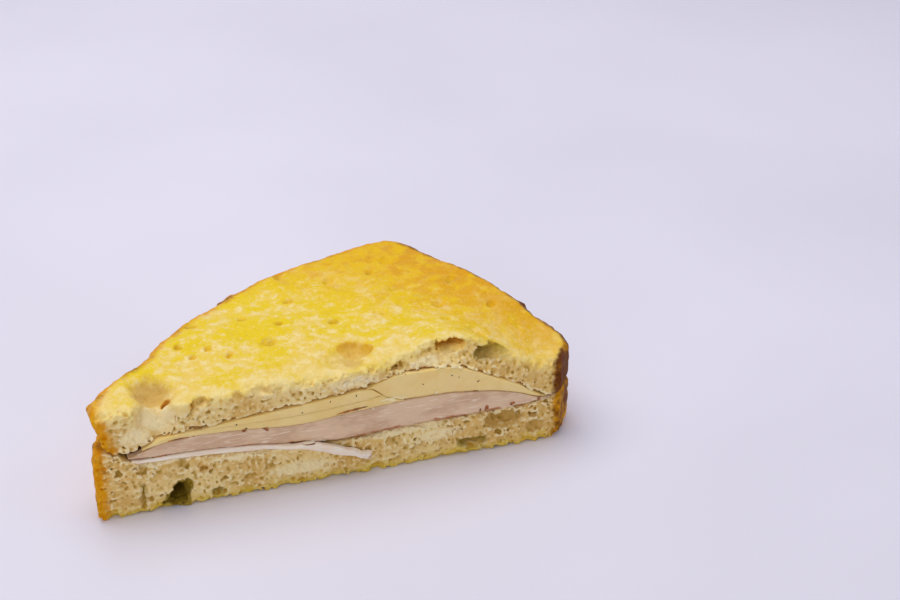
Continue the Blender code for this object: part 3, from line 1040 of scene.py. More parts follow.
@dataclass
class UpperSlice(Crumb):
    """The slice whose toasted face looks up."""

    name: str = "upper_slice"
    node: str = "bread_top"
    toasted: Side = Side.ABOVE
    seed: int = 8
    heights: tuple[float, float] = (14.0, 42.5)
    fine_to: float = 9.0
    pores_to: float = 11.0
    crags: float = 1.3
    nose_crags: float = 0.5
    tear: Profile = Profile([
        (0.0, 0.0), (88.0, 0.0), (99.0, 2.6), (109.0, 6.6), (121.0, 6.0), (131.0, 3.0),
        (142.0, 0.8), (150.0, 0.8),
    ], blur=1.5)
    slid: tuple[float, float] = (4.2, 24.0)
    slid_heights: tuple[float, float] = (23.0, 36.0)
    bright: tuple[tuple[float, float, float, float], ...] = (
        (80.5, 33.6, 9.0, 2.6), (104.0, 35.0, 7.0, 1.6), (52.0, 35.6, 6.0, 1.6),
        (13.0, 27.0, 6.0, 3.5), (66.0, 34.4, 6.0, 1.4), (20.0, 32.0, 6.4, 6.0),
    )
    hollows: tuple[Hollow, ...] = (
        Hollow((20.4, 8.8, 40.4), (6.2, 8.4, 8.6), 20.0, 0.2, 3.6),
        Hollow((19.4, -2.0, 33.4), (6.4, 5.6, 7.4), rim=3.2),
        Hollow((23.6, 6.4, 32.0), (1.1, 1.5, 3.4), tone=0.9),
        Hollow((84.6, 13.4, 39.4), (5.8, 4.6, 5.0), -20.0, 1.05, 1.7),
        Hollow((79.6, 8.4, 41.8), (8.6, 7.4, 6.4), -24.0, 0.1, 3.0),
        Hollow((113.6, 4.8, 37.3), (4.6, 4.8, 1.3), 12.0, 1.0),
        Hollow((127.1, 2.9, 33.7), (6.2, 5.2, 1.9), 4.0, -1.0),
        Hollow((95.0, 0.6, 35.1), (3.6, 3.1, 0.8), 9.0, 0.4),
        Hollow((30.6, 0.6, 32.9), (0.8, 2.0, 2.4), 10.0, 0.5, tilt=-12.0),
        Hollow((33.4, 0.6, 34.8), (2.8, 1.8, 0.7), 0.0, 0.5, tilt=16.0),
        Hollow((44.8, -0.2, 35.0), (1.6, 2.2, 1.9), 0.0, 0.3),
        Hollow((52.4, -0.2, 35.4), (2.3, 2.2, 1.3), 0.0, 0.3),
        Hollow((126.2, 11.6, 38.2), (4.6, 1.8, 2.2), -46.0, 0.8, 1.0),
    )
    dimples: tuple[tuple[float, float, float], ...] = (
        (39.7, 44.3, 2.0), (32.6, 31.0, 1.3), (41.5, 28.3, 1.2), (74.6, 68.4, 2.8),
        (108.8, 48.4, 2.7), (98.8, 32.6, 2.4), (72.9, 50.9, 1.4), (60.0, 26.0, 2.6),
        (119.5, 33.5, 2.4), (56.0, 44.0, 1.2), (89.0, 60.0, 2.1), (128.0, 48.0, 1.5),
        (112.0, 68.0, 2.3), (136.0, 30.0, 1.3), (47.0, 22.0, 1.1), (36.0, 24.5, 1.0),
        (66.0, 36.0, 1.1), (84.0, 34.0, 1.3), (104.0, 62.0, 1.2), (118.0, 22.0, 1.5),
    )
    dimple_depth: float = 1.3
    pores: tuple[Pores, ...] = (
        Pores(1.2, (0.2, 0.55), 0.4, 0.2, 0.5, 1.1, 21),
        Pores(2.2, (0.3, 1.05), 0.55, 0.25, 0.6, 1.3, 22),
        Pores(4.6, (0.7, 1.8), 0.7, 0.5, 0.7, 1.45, 23),
    )

    def low(self, s: Array, n: Array) -> Array:
        """The slice's lower face."""
        return self.layers.top_slice_bottom(s, n)

    def high(self, s: Array, n: Array) -> Array:
        """The slice's upper face."""
        return self.layers.toasted_top(s, n)

    def _share(self, s: Array, z: Array) -> Array:
        """How far up the cut face a height is, from 0 to 1.

        Args:
            s: Places along the cut.
            z: Heights above the floor.

        Returns:
            The share at each place.
        """
        front = np.float32(0.0)
        low, high = self.low(s, front), self.high(s, front)
        return np.clip((z - low) / np.maximum(high - low, 2.0), 0.0, 1.0)

    def face(self, s: Array, z: Array) -> Array:
        """Where the cut face stands, without its fine relief."""
        return super().face(s, z) + self.tear.at(s) * self._share(s, z)

    def lean(self, s: Array, z: Array) -> Array:
        """How far the slice is pushed along the cut at a height.

        Args:
            s: Places along the cut.
            z: Heights above the floor.

        Returns:
            The push at each place.
        """
        most, reach = self.slid
        low, high = self.slid_heights
        share = np.clip((z - low) / (high - low), 0.0, 1.0)
        return most * (1.0 - share) * (1.0 - smooth(s / reach))

    def _carve(self, body: Body) -> None:
        """Take the large hollows and the dimples of the toasted face out of the field.

        Args:
            body: The slice's body.
        """
        super()._carve(body)
        for s, n, radius in self.dimples:
            height = float(self.high(np.float32(s), np.float32(n)))
            centre = (s, n, height + radius - self.dimple_depth)
            pit = Hollow(centre, (1.3 * radius, radius, radius), 25.0 * (s % 3))
            around = np.array([5.0, 5.0, 4.0])
            window = body.window((s, n, height) - around, (s, n, height) + around)
            places = body.in_window(window)
            hole = pit.distance(*places) + 0.5 * self.lumps.at(places, 1.7)
            body.field[window] = larger(body.field[window], -hole, 0.9)


def block_skin(grid: Array) -> tuple[Array, Array, Array]:
    """The outside of a block of cells.

    Args:
        grid: The place of every corner of the cells.

    Returns:
        The outside's points, its faces and each point's shares across the block.
    """
    shape = grid.shape[:3]
    ids = np.arange(np.prod(shape)).reshape(shape)
    faces = []
    for axis in range(3):
        for end in (0, -1):
            side = np.take(ids, end, axis=axis)
            quads = np.stack([side[:-1, :-1], side[1:, :-1], side[1:, 1:], side[:-1, 1:]], axis=-1)
            outward = (end == 0) == (axis == 1)
            faces.append((quads if outward else quads[..., ::-1]).reshape(-1, 4))
    faces = np.concatenate(faces)
    used, renamed = np.unique(faces, return_inverse=True)
    at = np.stack(np.unravel_index(used, shape), axis=-1) / (np.array(shape) - 1.0)
    return grid.reshape(-1, 3)[used], renamed.reshape(faces.shape), at


@dataclass
class Filling:
    """A sheet of filling whose edge shows at the cut.

    It spans a part of the cut, lies between its low and high surfaces and is made of cells
    along, into and up the cut. Its edge stands at the front, is uneven by the fringe and
    bulges by the crown.
    """

    name: str
    node: str
    slot: Slot
    layers: Layers
    span: tuple[float, float]
    low: Surface
    high: Surface
    cells: tuple[int, int, int]
    seed: int
    front: float = -0.5
    fringe: float = 0.12
    crown: float = 0.2
    inset: float = 15.0
    end_round: float = 0.3
    ripple: float = 0.12
    row_growth: float = 1.6

    def __post_init__(self) -> None:
        """Draw the noise."""
        self.lumps = Lumps(self.seed)

    def reach(self, s: Array) -> Array:
        """How far the sheet goes in from the cut.

        Args:
            s: Places along the cut.

        Returns:
            The depth at each place.
        """
        depths = np.arange(0.0, 88.0, 0.5)
        inset = self.layers.crust.inset(s[:, None], depths[None, :])
        far = np.where(inset > self.inset, depths[None, :], 0.0).max(axis=1)
        return np.maximum(far, 2.5)

    def place(self, u: Array, v: Array, w: Array) -> tuple[Array, Array, Array]:
        """Where a point of the block of cells belongs.

        Args:
            u: Shares along the sheet.
            v: Shares into the food.
            w: Shares up the sheet.

        Returns:
            Its places along, into and above the cut's start.
        """
        s = mix(*self.span, u)
        height = w * 5.0
        uneven = (
            self.fringe * self.lumps.at((s, height, 1.0), 3.4)
            + 0.5 * self.fringe * self.lumps.at((s, height * 2.2, 5.0), 1.1)
        )
        face = self.front + uneven + self.crown * (2.0 * w - 1.0) ** 4
        n = mix(face, self.reach(s.ravel())[:, None, None], v ** self.row_growth)
        inner = np.maximum(n, 0.0)
        low, high = self.low(s, inner), self.high(s, inner)
        rounding = self.end_round * (high - low) * (1.0 - smooth(np.minimum(u, 1.0 - u) * 16.0))
        ripple = self.ripple * self.lumps.at((s, n, 20.0), 2.0) * (1.0 - smooth(v * 6.0))
        return s, n, mix(low + rounding, high - rounding, w) + ripple * 4.0 * w * (1.0 - w)

    def build(self, finish: bpy.types.Material) -> bpy.types.Object:
        """Make and dress the sheet.

        Args:
            finish: Its material.

        Returns:
            The sheet.
        """
        along, inward, upward = [np.linspace(0.0, 1.0, count + 1) for count in self.cells]
        u, v, w = np.meshgrid(along, inward, upward, indexing="ij", sparse=True)
        grid = np.stack(np.broadcast_arrays(*self.place(u, v, w)), axis=-1)
        points, faces, shares = block_skin(grid)
        piece = piece_from(self.name, points, faces)
        mark(piece, across=shares[:, 2])
        dress(piece, finish, self.node)
        return piece


@dataclass
class DroopingTurkey(Filling):
    """The thin slice under the main one; its right end has slid out and hangs down the face.

    It comes out of the cut over one stretch and drops over the next. The tongue is how thick
    the hanging part is from back to front, and the torn share of it is ragged.
    """

    out: tuple[float, float] = (51.0, 60.0)
    down: tuple[float, float] = (60.0, 67.0)
    droop: Profile = Profile([
        (60.0, 15.2), (66.0, 14.3), (73.5, 11.5), (79.0, 9.0), (84.2, 6.6),
    ], blur=1.0)
    thickness: float = 2.9
    tongue: float = 1.5
    hung_front: float = -0.8
    torn_share: float = 0.14
    torn_reach: float = 1.5

    def place(self, u: Array, v: Array, w: Array) -> tuple[Array, Array, Array]:
        """Where a point of the block of cells belongs.

        Args:
            u: Shares along the sheet.
            v: Shares into the food.
            w: Shares up the sheet.

        Returns:
            Its places along, into and above the cut's start.
        """
        s = mix(*self.span, u)
        ragged = smooth((u - 1.0 + self.torn_share) / self.torn_share)
        torn = self.torn_reach * ragged * self.lumps.at((w * 5.0, v * 2.0, 3.0), 1.3)
        out = smooth((s - self.out[0]) / (self.out[1] - self.out[0]))
        uneven = self.fringe * self.lumps.at((s, w * 3.0, 1.0), 2.6)
        crowned = uneven + self.crown * (2.0 * w - 1.0) ** 4
        front = mix(self.front, self.hung_front - self.tongue, out) + crowned
        inside = mix(front, self.reach(s.ravel())[:, None, None], v ** self.row_growth)
        n = mix(inside, front + v * self.tongue, out)
        inner = np.maximum(n, 0.0)
        low = self.layers.bottom_slice_top(s, inner) + 0.5
        high = self.layers.turkey_low(s, inner) - 0.1
        thickness = self.thickness * (1.0 - 0.3 * smooth((s - 76.0) / 8.0))
        hung = self.droop.at(s) + thickness * (w - 0.5)
        hung = hung + (0.2 + 0.8 * ragged) * self.lumps.at((s, w * 2.0, 5.0), 2.2)
        down = smooth((s - self.down[0]) / (self.down[1] - self.down[0]))
        return s + torn, n, mix(mix(low, high, w), hung, down)


class Front:
    """The food as it is met from the cut's side."""

    START = -90.0

    def __init__(self, pieces: Sequence[bpy.types.Object]) -> None:
        """Keep a tree of every piece's faces."""
        graph = bpy.context.evaluated_depsgraph_get()
        self.trees = [BVHTree.FromObject(piece, graph) for piece in pieces]

    def meet(self, s: float, z: float) -> float:
        """How far in the food is met at a place on the cut.

        Args:
            s: The place along the cut.
            z: Its height.

        Returns:
            The depth, or 0 where nothing is met.
        """
        start = Vector((s + CUT_START[0], self.START, z)) * MM
        hits = [tree.ray_cast(start, Vector((0.0, 1.0, 0.0)))[0] for tree in self.trees]
        return min([hit.y / MM - CUT_START[1] for hit in hits if hit is not None], default=0.0)


@dataclass
class Bits:
    """Small things that lie on the cut: tapered rolls, each a half width and a line of places.

    The flatness is how deep a roll is for its width, and it is sunk by a share of that depth.
    """

    name: str
    slot: Slot
    finish: PlainFinish
    lines: Rolls
    flatness: float = 0.6
    sunk: float = 0.3
    unevenness: float = 0.35
    step: float = 0.3
    sides: int = 8
    seed: int = 51

    def roll(
        self, front: Front, width: float, line: Points, lumps: Lumps
    ) -> tuple[Array, list[list[int]]]:
        """One roll.

        Args:
            front: The food that it lies on.
            width: Half its width at its middle.
            line: The places that it passes, along and up the cut.
            lumps: What makes it uneven.

        Returns:
            Its points and faces.
        """
        knots = np.array(line)
        lengths = np.concatenate([[0.0], np.cumsum(np.linalg.norm(np.diff(knots, axis=0), axis=1))])
        count = max(6, int(lengths[-1] / self.step))
        share = np.linspace(0.0, 1.0, count)
        s, z = (np.interp(share * lengths[-1], lengths, knots[:, axis]) for axis in (0, 1))
        met = np.array([front.meet(a, b) for a, b in zip(s, z)])
        met = np.minimum(met, np.median(met) + 0.6)
        middle = np.column_stack([s, met + width * self.flatness * self.sunk, z])
        ahead = np.gradient(np.column_stack([s, z]), axis=0)
        ahead /= np.linalg.norm(ahead, axis=1, keepdims=True)
        across = np.column_stack([-ahead[:, 1], np.zeros(count), ahead[:, 0]])
        uneven = 1.0 + self.unevenness * lumps.at((s, z, 3.0), 0.9)
        half = width * uneven * np.sin(math.pi * (0.06 + 0.88 * share)) ** 0.7
        turns = np.arange(self.sides) * 2.0 * math.pi / self.sides
        sway = 1.0 + self.unevenness * lumps.at((s[:, None] * 3.0, turns[None, :], z[:, None]), 1.0)
        sideways = half[:, None] * sway * np.cos(turns)
        inward = half[:, None] * sway * self.flatness * np.sin(turns)
        points = middle[:, None] + across[:, None] * sideways[..., None]
        points = points + inward[..., None] * np.array([0.0, 1.0, 0.0])
        ids = np.arange(count * self.sides).reshape(count, self.sides)
        beside = np.roll(ids, -1, axis=1)
        faces = np.stack([ids[:-1], ids[1:], beside[1:], beside[:-1]], axis=-1)
        faces = faces.reshape(-1, 4).tolist()
        return points.reshape(-1, 3), faces + [ids[0].tolist(), ids[-1, ::-1].tolist()]

    def build(self, front: Front) -> bpy.types.Object:
        """Make and dress them as one piece.

        Args:
            front: The food that they lie on.

        Returns:
            The piece.
        """
        lumps = Lumps(self.seed)
        points, faces, count = [], [], 0
        for width, line in self.lines:
            new_points, new_faces = self.roll(front, width, line, lumps)
            faces += [[index + count for index in face] for face in new_faces]
            points.append(new_points)
            count += len(new_points)
        piece = piece_from(self.name, np.vstack(points), faces)
        dress(piece, self.finish.make(self.name))
        return piece


def grains(places: Points, width: float, length: float) -> Rolls:
    """Short rolls at places on the cut, each turned another way.

    Args:
        places: Where they lie.
        width: Half their width.
        length: How long they are.

    Returns:
        The rolls' widths and lines.
    """
    rolls = []
    for number, (s, z) in enumerate(places):
        angle = 2.4 * number
        reach = 0.5 * length * (0.75 + 0.5 * (number * 0.618 % 1.0))
        along, up = reach * math.cos(angle), reach * math.sin(angle)
        rolls.append((width, [(s - along, z - up), (s + along, z + up)]))
    return rolls


@dataclass
class Trimmings:
    """What lies on the cut, as places along and up it."""

    herbs: Points = (
        (91.7, 32.9), (102.7, 28.7), (114.5, 29.0), (43.3, 26.0), (46.3, 24.0), (63.9, 26.2),
        (81.1, 28.9), (72.8, 28.4), (120.9, 26.3), (112.2, 30.1),
    )
    browned_rims: Rolls = (
        (0.2, [(29.4, 27.0), (32.0, 26.8), (34.8, 26.6)]),
        (0.24, [(22.4, 24.4), (26.2, 24.6), (30.6, 24.4)]),
        (0.32, [(74.7, 23.4), (79.1, 23.9), (84.5, 24.4)]),
        (0.2, [(96.9, 33.2), (101.0, 33.4), (106.7, 33.2)]),
        (0.18, [(115.0, 23.4), (121.0, 22.8)]),
        (0.22, [(11.4, 19.9), (17.0, 19.7), (23.0, 19.4), (32.0, 19.1)]),
        (0.2, [(62.0, 15.9), (66.0, 15.4), (70.0, 14.9)]),
    )
    spots: Points = (
        (45.7, 23.2), (52.3, 22.6), (121.6, 15.6), (123.6, 16.2), (132.4, 16.2), (141.4, 16.0),
    )
    torn_crumb: Rolls = (
        (0.75, [(77.0, 32.6), (79.4, 33.7)]),
        (0.6, [(80.4, 33.4), (82.6, 34.6), (83.6, 34.6)]),
        (0.6, [(73.8, 31.7), (75.4, 31.5)]),
        (0.5, [(83.6, 32.8), (85.6, 33.6)]),
        (0.5, [(70.4, 32.0), (71.6, 32.6)]),
        (0.5, [(99.0, 35.3), (101.0, 35.0)]),
        (0.55, [(106.6, 25.2), (107.6, 24.6)]),
        (0.4, [(86.0, 23.4), (86.6, 22.8)]),
    )
    torn_turkey: Rolls = (
        (0.5, [(81.0, 8.5), (83.6, 7.7), (85.2, 8.1)]),
        (0.5, [(82.2, 6.4), (85.4, 5.2)]),
        (0.3, [(66.0, 15.6), (69.6, 15.0), (72.4, 14.2)]),
    )
    cheese_shred: Rolls = (
        (0.55, [(88.6, 25.4), (91.0, 25.6), (93.4, 24.8), (95.4, 24.9), (97.4, 24.2)]),
        (0.35, [(92.0, 25.8), (95.0, 25.6), (98.0, 25.0)]),
    )

    def build(self, front: Front) -> None:
        """Make every kind.

        Args:
            front: The food that they lie on.
        """
        kinds = [
            Bits(
                "herbs", Slot.CHEESE, PlainFinish((66, 56, 20), 0.6, 0.5, 1.0),
                grains(self.herbs, width=0.2, length=0.8),
            ),
            Bits(
                "browned_rims", Slot.TURKEY, PlainFinish((200, 124, 48), 0.5, 0.6, 1.5),
                self.browned_rims, flatness=1.0, sunk=-0.2,
            ),
            Bits(
                "brown_spots", Slot.TURKEY, PlainFinish((186, 110, 52), 0.5, 0.6, 0.8),
                grains(self.spots, width=0.75, length=2.0), flatness=0.3, sunk=0.4,
            ),
            Bits(
                "torn_crumb", Slot.BREAD, PlainFinish((255, 240, 196), 0.8, 0.92, 1.0),
                self.torn_crumb, flatness=0.5, unevenness=0.6,
            ),
            Bits(
                "torn_turkey", Slot.TURKEY, PlainFinish((255, 244, 228), 0.6, 0.93, 1.2),
                self.torn_turkey, flatness=0.6, unevenness=0.5,
            ),
            Bits(
                "cheese_shred", Slot.CHEESE, PlainFinish((255, 238, 184), 0.4, 0.95, 2.0),
                self.cheese_shred,
            ),
        ]
        for kind in kinds:
            kind.build(front)


class Value:
    """A shader value that can be reckoned with."""

    def __init__(self, board: Board, socket: bpy.types.NodeSocket) -> None:
        """Keep the socket and its board."""
        self.board = board
        self.socket = socket

    def __add__(self, other: Value | float) -> Value:
        """Add."""
        return self.board.math("ADD", self, other)

    __radd__ = __add__

    def __sub__(self, other: Value | float) -> Value:
        """Subtract."""
        return self.board.math("SUBTRACT", self, other)

    def __rsub__(self, other: Value | float) -> Value:
        """Subtract from another."""
        return self.board.math("SUBTRACT", other, self)

    def __mul__(self, other: Value | float) -> Value:
        """Multiply."""
        return self.board.math("MULTIPLY", self, other)

    __rmul__ = __mul__

    def most(self, other: Value | float) -> Value:
        """The larger of two values."""
        return self.board.math("MAXIMUM", self, other)

    def between(self, start: float, end: float) -> Value:
        """Ease from 0 at the start to 1 at the end.

        Args:
            start: Where it is still 0.
            end: Where it is 1.

        Returns:
            The eased value.
        """
        node = self.board.node(
            "ShaderNodeMapRange", {"interpolation_type": "SMOOTHSTEP"},
            {"Value": self, "From Min": start, "From Max": end},
        )
        return Value(self.board, node.outputs["Result"])


class Board:
    """A material's nodes."""

    def __init__(self, name: str) -> None:
        """Start a material with one principled shader.

        Args:
            name: The material's name.
        """
        self.material = bpy.data.materials.new(name)
        self.material.use_nodes = True
        self.tree = self.material.node_tree
        self.shader = self.tree.nodes["Principled BSDF"]
        coordinates = self.node("ShaderNodeTexCoord", {}, {})
        scaled = self.node(
            "ShaderNodeVectorMath", {"operation": "SCALE"},
            {0: coordinates.outputs["Object"], "Scale": 1.0 / MM},
        )
        self.place = scaled.outputs["Vector"]

    def node(
        self, kind: str, settings: dict[str, Any], inputs: dict[str | int, Any]
    ) -> bpy.types.Node:
        """Add a node.

        Args:
            kind: Its type.
            settings: Its own settings.
            inputs: What goes into its sockets: a value, a socket or a constant.

        Returns:
            The node.
        """
        made = self.tree.nodes.new(kind)
        for name, setting in settings.items():
            setattr(made, name, setting)
        for name, given in inputs.items():
            self.feed(made.inputs[name], given)
        return made

    def feed(self, socket: bpy.types.NodeSocket, given: Any) -> None:
        """Link or set a socket.

        Args:
            socket: The socket.
            given: A value, another socket or a constant.
        """
        if isinstance(given, Value):
            given = given.socket
        if isinstance(given, bpy.types.NodeSocket):
            self.tree.links.new(given, socket)
        else:
            socket.default_value = given

    def math(self, operation: str, a: Value | float, b: Value | float) -> Value:
        """Reckon with two values."""
        made = self.node("ShaderNodeMath", {"operation": operation}, {0: a, 1: b})
        return Value(self, made.outputs["Value"])

    def stored(self, name: str) -> Value:
        """A value that the mesh carries."""
        made = self.node("ShaderNodeAttribute", {"attribute_name": name}, {})
        return Value(self, made.outputs["Fac"])

    def coordinate(self, axis: str) -> Value:
        """One coordinate in millimetres."""
        made = self.node("ShaderNodeSeparateXYZ", {}, {"Vector": self.place})
        return Value(self, made.outputs[axis])

    def noise(
        self, size: float, detail: float = 2.0, shift: float = 0.0,
        stretch: Colour = (1.0, 1.0, 1.0),
    ) -> Value:
        """Noise of 0 to 1.

        Args:
            size: The size of its lumps in millimetres.
            detail: How many finer layers it has.
            shift: Where it is read, so that two noises differ.
            stretch: How much it is squeezed along each axis.

        Returns:
            The noise.
        """
        moved = self.node(
            "ShaderNodeVectorMath", {"operation": "MULTIPLY_ADD"},
            {0: self.place, 1: stretch, 2: (shift, shift, shift)},
        )
        made = self.node(
            "ShaderNodeTexNoise", {},
            {"Vector": moved.outputs["Vector"], "Scale": 1.0 / size, "Detail": detail},
        )
        return Value(self, made.outputs["Fac"])

    def blend(self, low: Any, high: Any, share: Value | float) -> bpy.types.NodeSocket:
        """Mix two colours.

        Args:
            low: The colour at 0.
            high: The colour at 1.
            share: How much of the second colour there is.

        Returns:
            The mixed colour.
        """
        made = self.node(
            "ShaderNodeMix", {"data_type": "RGBA"},
            {"Factor": share, 6: linear(low), 7: linear(high)},
        )
        return made.outputs[2]

    def bump(self, height: Value, distance: float, strength: float) -> None:
        """Raise the surface by a value, over a distance in millimetres.

        Args:
            height: The value.
            distance: How far it raises the surface.
            strength: How strongly it shows.
        """
        made = self.node(
            "ShaderNodeBump", {},
            {"Height": height, "Distance": distance * MM, "Strength": strength},
        )
        self.feed(self.shader.inputs["Normal"], made.outputs["Normal"])

    def finish(self, **inputs: Any) -> bpy.types.Material:
        """Set the shader's sockets, with underscores for blanks in their names.

        Args:
            inputs: What goes into each socket.

        Returns:
            The material.
        """
        for name, given in inputs.items():
            self.feed(self.shader.inputs[name.replace("_", " ")], given)
        return self.material


def linear(colour: Any) -> Any:
    """Turn a colour of 0 to 255 into a linear one; leave a socket as it is.

    Args:
        colour: A colour or a socket.

    Returns:
        The colour with full cover, or the socket.
    """
    if not isinstance(colour, tuple):
        return colour
    parts = [part / 255.0 for part in colour]
    return tuple(
        part / 12.92 if part < 0.04045 else ((part + 0.055) / 1.055) ** 2.4 for part in parts
    ) + (1.0,)


@dataclass(frozen=True)
class Grain:
    """What the bread's colours are mixed by: three sizes of noise, places and its crumb."""

    board: Board
    coarse: Value
    middle: Value
    fine: Value
    along: Value
    into: Value
    crowd: Value
    behind: Value

    @classmethod
    def on(cls, board: Board) -> Grain:
        """Read everything on a board.

        Args:
            board: The material's board.

        Returns:
            The values.
        """
        return cls(
            board, board.noise(13.0, 3.0), board.noise(3.2, 3.0, 7.0), board.noise(0.9, 2.0, 3.0),
            board.coordinate("X"), board.coordinate("Y"),
            board.stored("crowd"), board.stored("behind"),
        )

    def uneven(self, coarse: float = 0.0, middle: float = 0.0, fine: float = 0.0) -> Value | float:
        """Noise about nought.

        Args:
            coarse: How much of the coarse noise it has.
            middle: How much of the middle noise it has.
            fine: How much of the fine noise it has.

        Returns:
            The sum of the noises.
        """
        parts = ((coarse, self.coarse), (middle, self.middle), (fine, self.fine))
        return sum(weight * (noise - 0.5) for weight, noise in parts if weight)

    def mottled(self) -> Value:
        """Noise for small spots of another shade."""
        return self.middle + self.uneven(fine=0.5)


@dataclass(frozen=True)
class BreadFinish:
    """Toasted, buttered bread: crumb, browned faces and crust, with painted shade and highlights.
    """

    crumb: Colour = (244, 217, 148)
    # Also the painted highlight on the crumb's ridges.
    wall: Colour = (255, 237, 186)
    # Painted shade in the crumb's pores, with a little of the butter's tint.
    pore: Colour = (190, 158, 70)
    tan: Colour = (222, 178, 92)
    browned: Colour = (206, 136, 36)
    # Painted shade in the hollows.
    hollow_shade: Colour = (152, 126, 36)
    toast: Colour = (248, 214, 104)
    butter: Colour = (246, 214, 4)
    pale: Colour = (255, 233, 162)
    golden: Colour = (243, 196, 0)
    crust: Colour = (230, 160, 6)
    crust_light: Colour = (246, 190, 40)
    # Also the painted shadow on the crust's right end.
    crust_dark: Colour = (110, 56, 0)
    cut_edge: float = 0.5
    # How much painted shadow darkens the crust towards the right end.
    right_end_shade: float = 0.38
    shine: float = 0.12
    subsurface: float = 0.12

    def make(self, name: str, toasted: Side) -> bpy.types.Material:
        """Make the finish.

        Args:
            name: Its name.
            toasted: Which face is toasted.

        Returns:
            The material.
        """
        board = Board(name)
        grain = Grain.on(board)
        from_toast = board.stored(toasted.value)
        depth = from_toast + grain.uneven(coarse=3.0, middle=3.4, fine=1.2)
        colour = board.blend(self._toasted(grain), self._torn(grain), depth.between(0.0, 3.6))
        colour = self._with_crust(grain, self._with_hollows(grain, colour))
        board.bump(board.noise(0.5, 3.0, 5.0) + 1.4 * board.noise(1.4, 2.0, 15.0), 0.35, 0.6)
        return board.finish(
            Base_Color=colour, Roughness=0.42 + 0.2 * from_toast.between(0.2, 1.2),
            Specular_IOR_Level=self.shine,
            Subsurface_Weight=self.subsurface, Subsurface_Radius=(1.0, 0.7, 0.35),
            Subsurface_Scale=0.0025,
        )

    def _torn(self, grain: Grain) -> bpy.types.NodeSocket:
        """The colour of the torn crumb at the cut, with painted shade in its hollows and towards
        its right end and a painted highlight on its ridges.

        Args:
            grain: What it is mixed by.

        Returns:
            The colour.
        """
        board, crowd, along = grain.board, grain.crowd, grain.along
        # Tan at random and at the left end; the tan towards the right end is painted shadow.
        browner_and_shaded = grain.coarse + 0.2 * (1.0 - along.between(-76.0, -44.0))
        browner_and_shaded = browner_and_shaded + 0.22 * along.between(34.0, 62.0)
        colour = board.blend(self.crumb, self.tan, browner_and_shaded.between(0.42, 0.64) * 0.7)
        # Painted highlight: the pale wall colour on ridges, where little solid is near.
        ridge = (0.50 - crowd + grain.uneven(fine=0.16)).between(0.0, 0.22)
        colour = board.blend(colour, self.wall, ridge * 0.85)
        # Painted shade: the pore colour in hollows, where much solid is near, and further behind
        # the face.
        shaded = (crowd + grain.uneven(middle=0.10)).between(0.53, 0.74)
        deep = 0.25 * grain.behind.between(0.8, 3.0)
        colour = board.blend(colour, self.pore, shaded.most(deep))
        bright = board.stored("bright") + grain.uneven(middle=0.6, fine=0.7)
        return board.blend(colour, self.wall, bright.between(0.15, 0.95) * 0.9)

    def _toasted(self, grain: Grain) -> bpy.types.NodeSocket:
        """The colour of the toasted, buttered face, with painted shade in its hollows and towards
        its right end.

        Args:
            grain: What it is mixed by.

        Returns:
            The colour.
        """
        board, along = grain.board, grain.along
        toast = board.blend(self.pale, self.toast, grain.mottled().between(0.22, 0.6))
        buttered = grain.coarse + grain.uneven(middle=0.8, fine=0.35)
        buttered = buttered + 0.16 * grain.into.between(-44.0, -12.0)
        toast = board.blend(toast, self.butter, buttered.between(0.46, 0.76))
        # Golden towards the back and the right, and crust-coloured patches grow towards the right;
        # towards the right both are partly painted shadow.
        far = 0.8 * along + grain.into + grain.uneven(coarse=24.0, middle=12.0)
        gilded_and_shaded = far.between(-8.0, 58.0)
        toast = board.blend(toast, self.golden, gilded_and_shaded * 0.95)
        amber = board.noise(5.5, 3.0, 23.0) + grain.uneven(fine=0.3)
        amber = (amber + 0.2 * along.between(20.0, 60.0)).between(0.46, 0.74)
        toast = board.blend(toast, self.crust, amber * gilded_and_shaded * 0.8)
        # Painted shade: golden in the dimples and hollows, where much solid is near.
        toast = board.blend(toast, self.golden, grain.crowd.between(0.55, 0.72) * 0.7)
        dots = (board.noise(1.1, 2.0, 19.0) + grain.uneven(middle=0.5)).between(0.60, 0.76)
        toast = board.blend(toast, self.pale, dots * (0.55 - 0.45 * gilded_and_shaded))
        off_cut = (grain.behind + grain.uneven(coarse=8.0, middle=8.0)).between(0.5, 8.0)
        near_cut = (1.0 - off_cut) * (1.0 - 0.8 * gilded_and_shaded)
        return board.blend(toast, self.pale, near_cut * self.cut_edge)

    def _with_hollows(
        self, grain: Grain, colour: bpy.types.NodeSocket
    ) -> bpy.types.NodeSocket:
        """The colour with its browned hollows and the painted shade in them.

        Args:
            grain: What it is mixed by.
            colour: The colour beside them.

        Returns:
            The colour.
        """
        board = grain.board
        # Painted shade in the hollows, stronger towards their top, mixed with real browning; below
        # 0 it is painted shade only.
        tone = board.stored("tone") + grain.uneven(middle=0.25)
        browned = board.blend(self.browned, self.crust_dark, tone.between(0.7, 1.1) * 0.65)
        colour = board.blend(colour, self.golden, tone.between(0.0, 0.6) * 0.45)
        colour = board.blend(colour, browned, tone.between(0.3, 1.0))
        return board.blend(colour, self.hollow_shade, (tone * -1.0).between(0.0, 1.0))

    def _with_crust(
        self, grain: Grain, colour: bpy.types.NodeSocket
    ) -> bpy.types.NodeSocket:
        """The colour with the crust around it, with painted shadow on the crust towards the right
        end.

        Args:
            grain: What it is mixed by.
            colour: The colour within the crust.

        Returns:
            The colour.
        """
        board = grain.board
        light = grain.mottled().between(0.46, 0.78)
        crust = board.blend(self.crust, self.crust_light, light * 0.7)
        # Burnt at random; the darkening that grows towards the right end is painted shadow.
        scorched_and_shaded = grain.coarse + 0.5 * (board.noise(2.6, 3.0, 31.0) - 0.5)
        scorched_and_shaded = scorched_and_shaded + self.right_end_shade * grain.along.between(30.0, 76.0)
        crust = board.blend(crust, self.crust_dark, scorched_and_shaded.between(0.46, 0.82))
        rim = board.stored("inset") + grain.uneven(middle=1.1, fine=0.5)
        return board.blend(crust, colour, rim.between(0.35, 1.05))


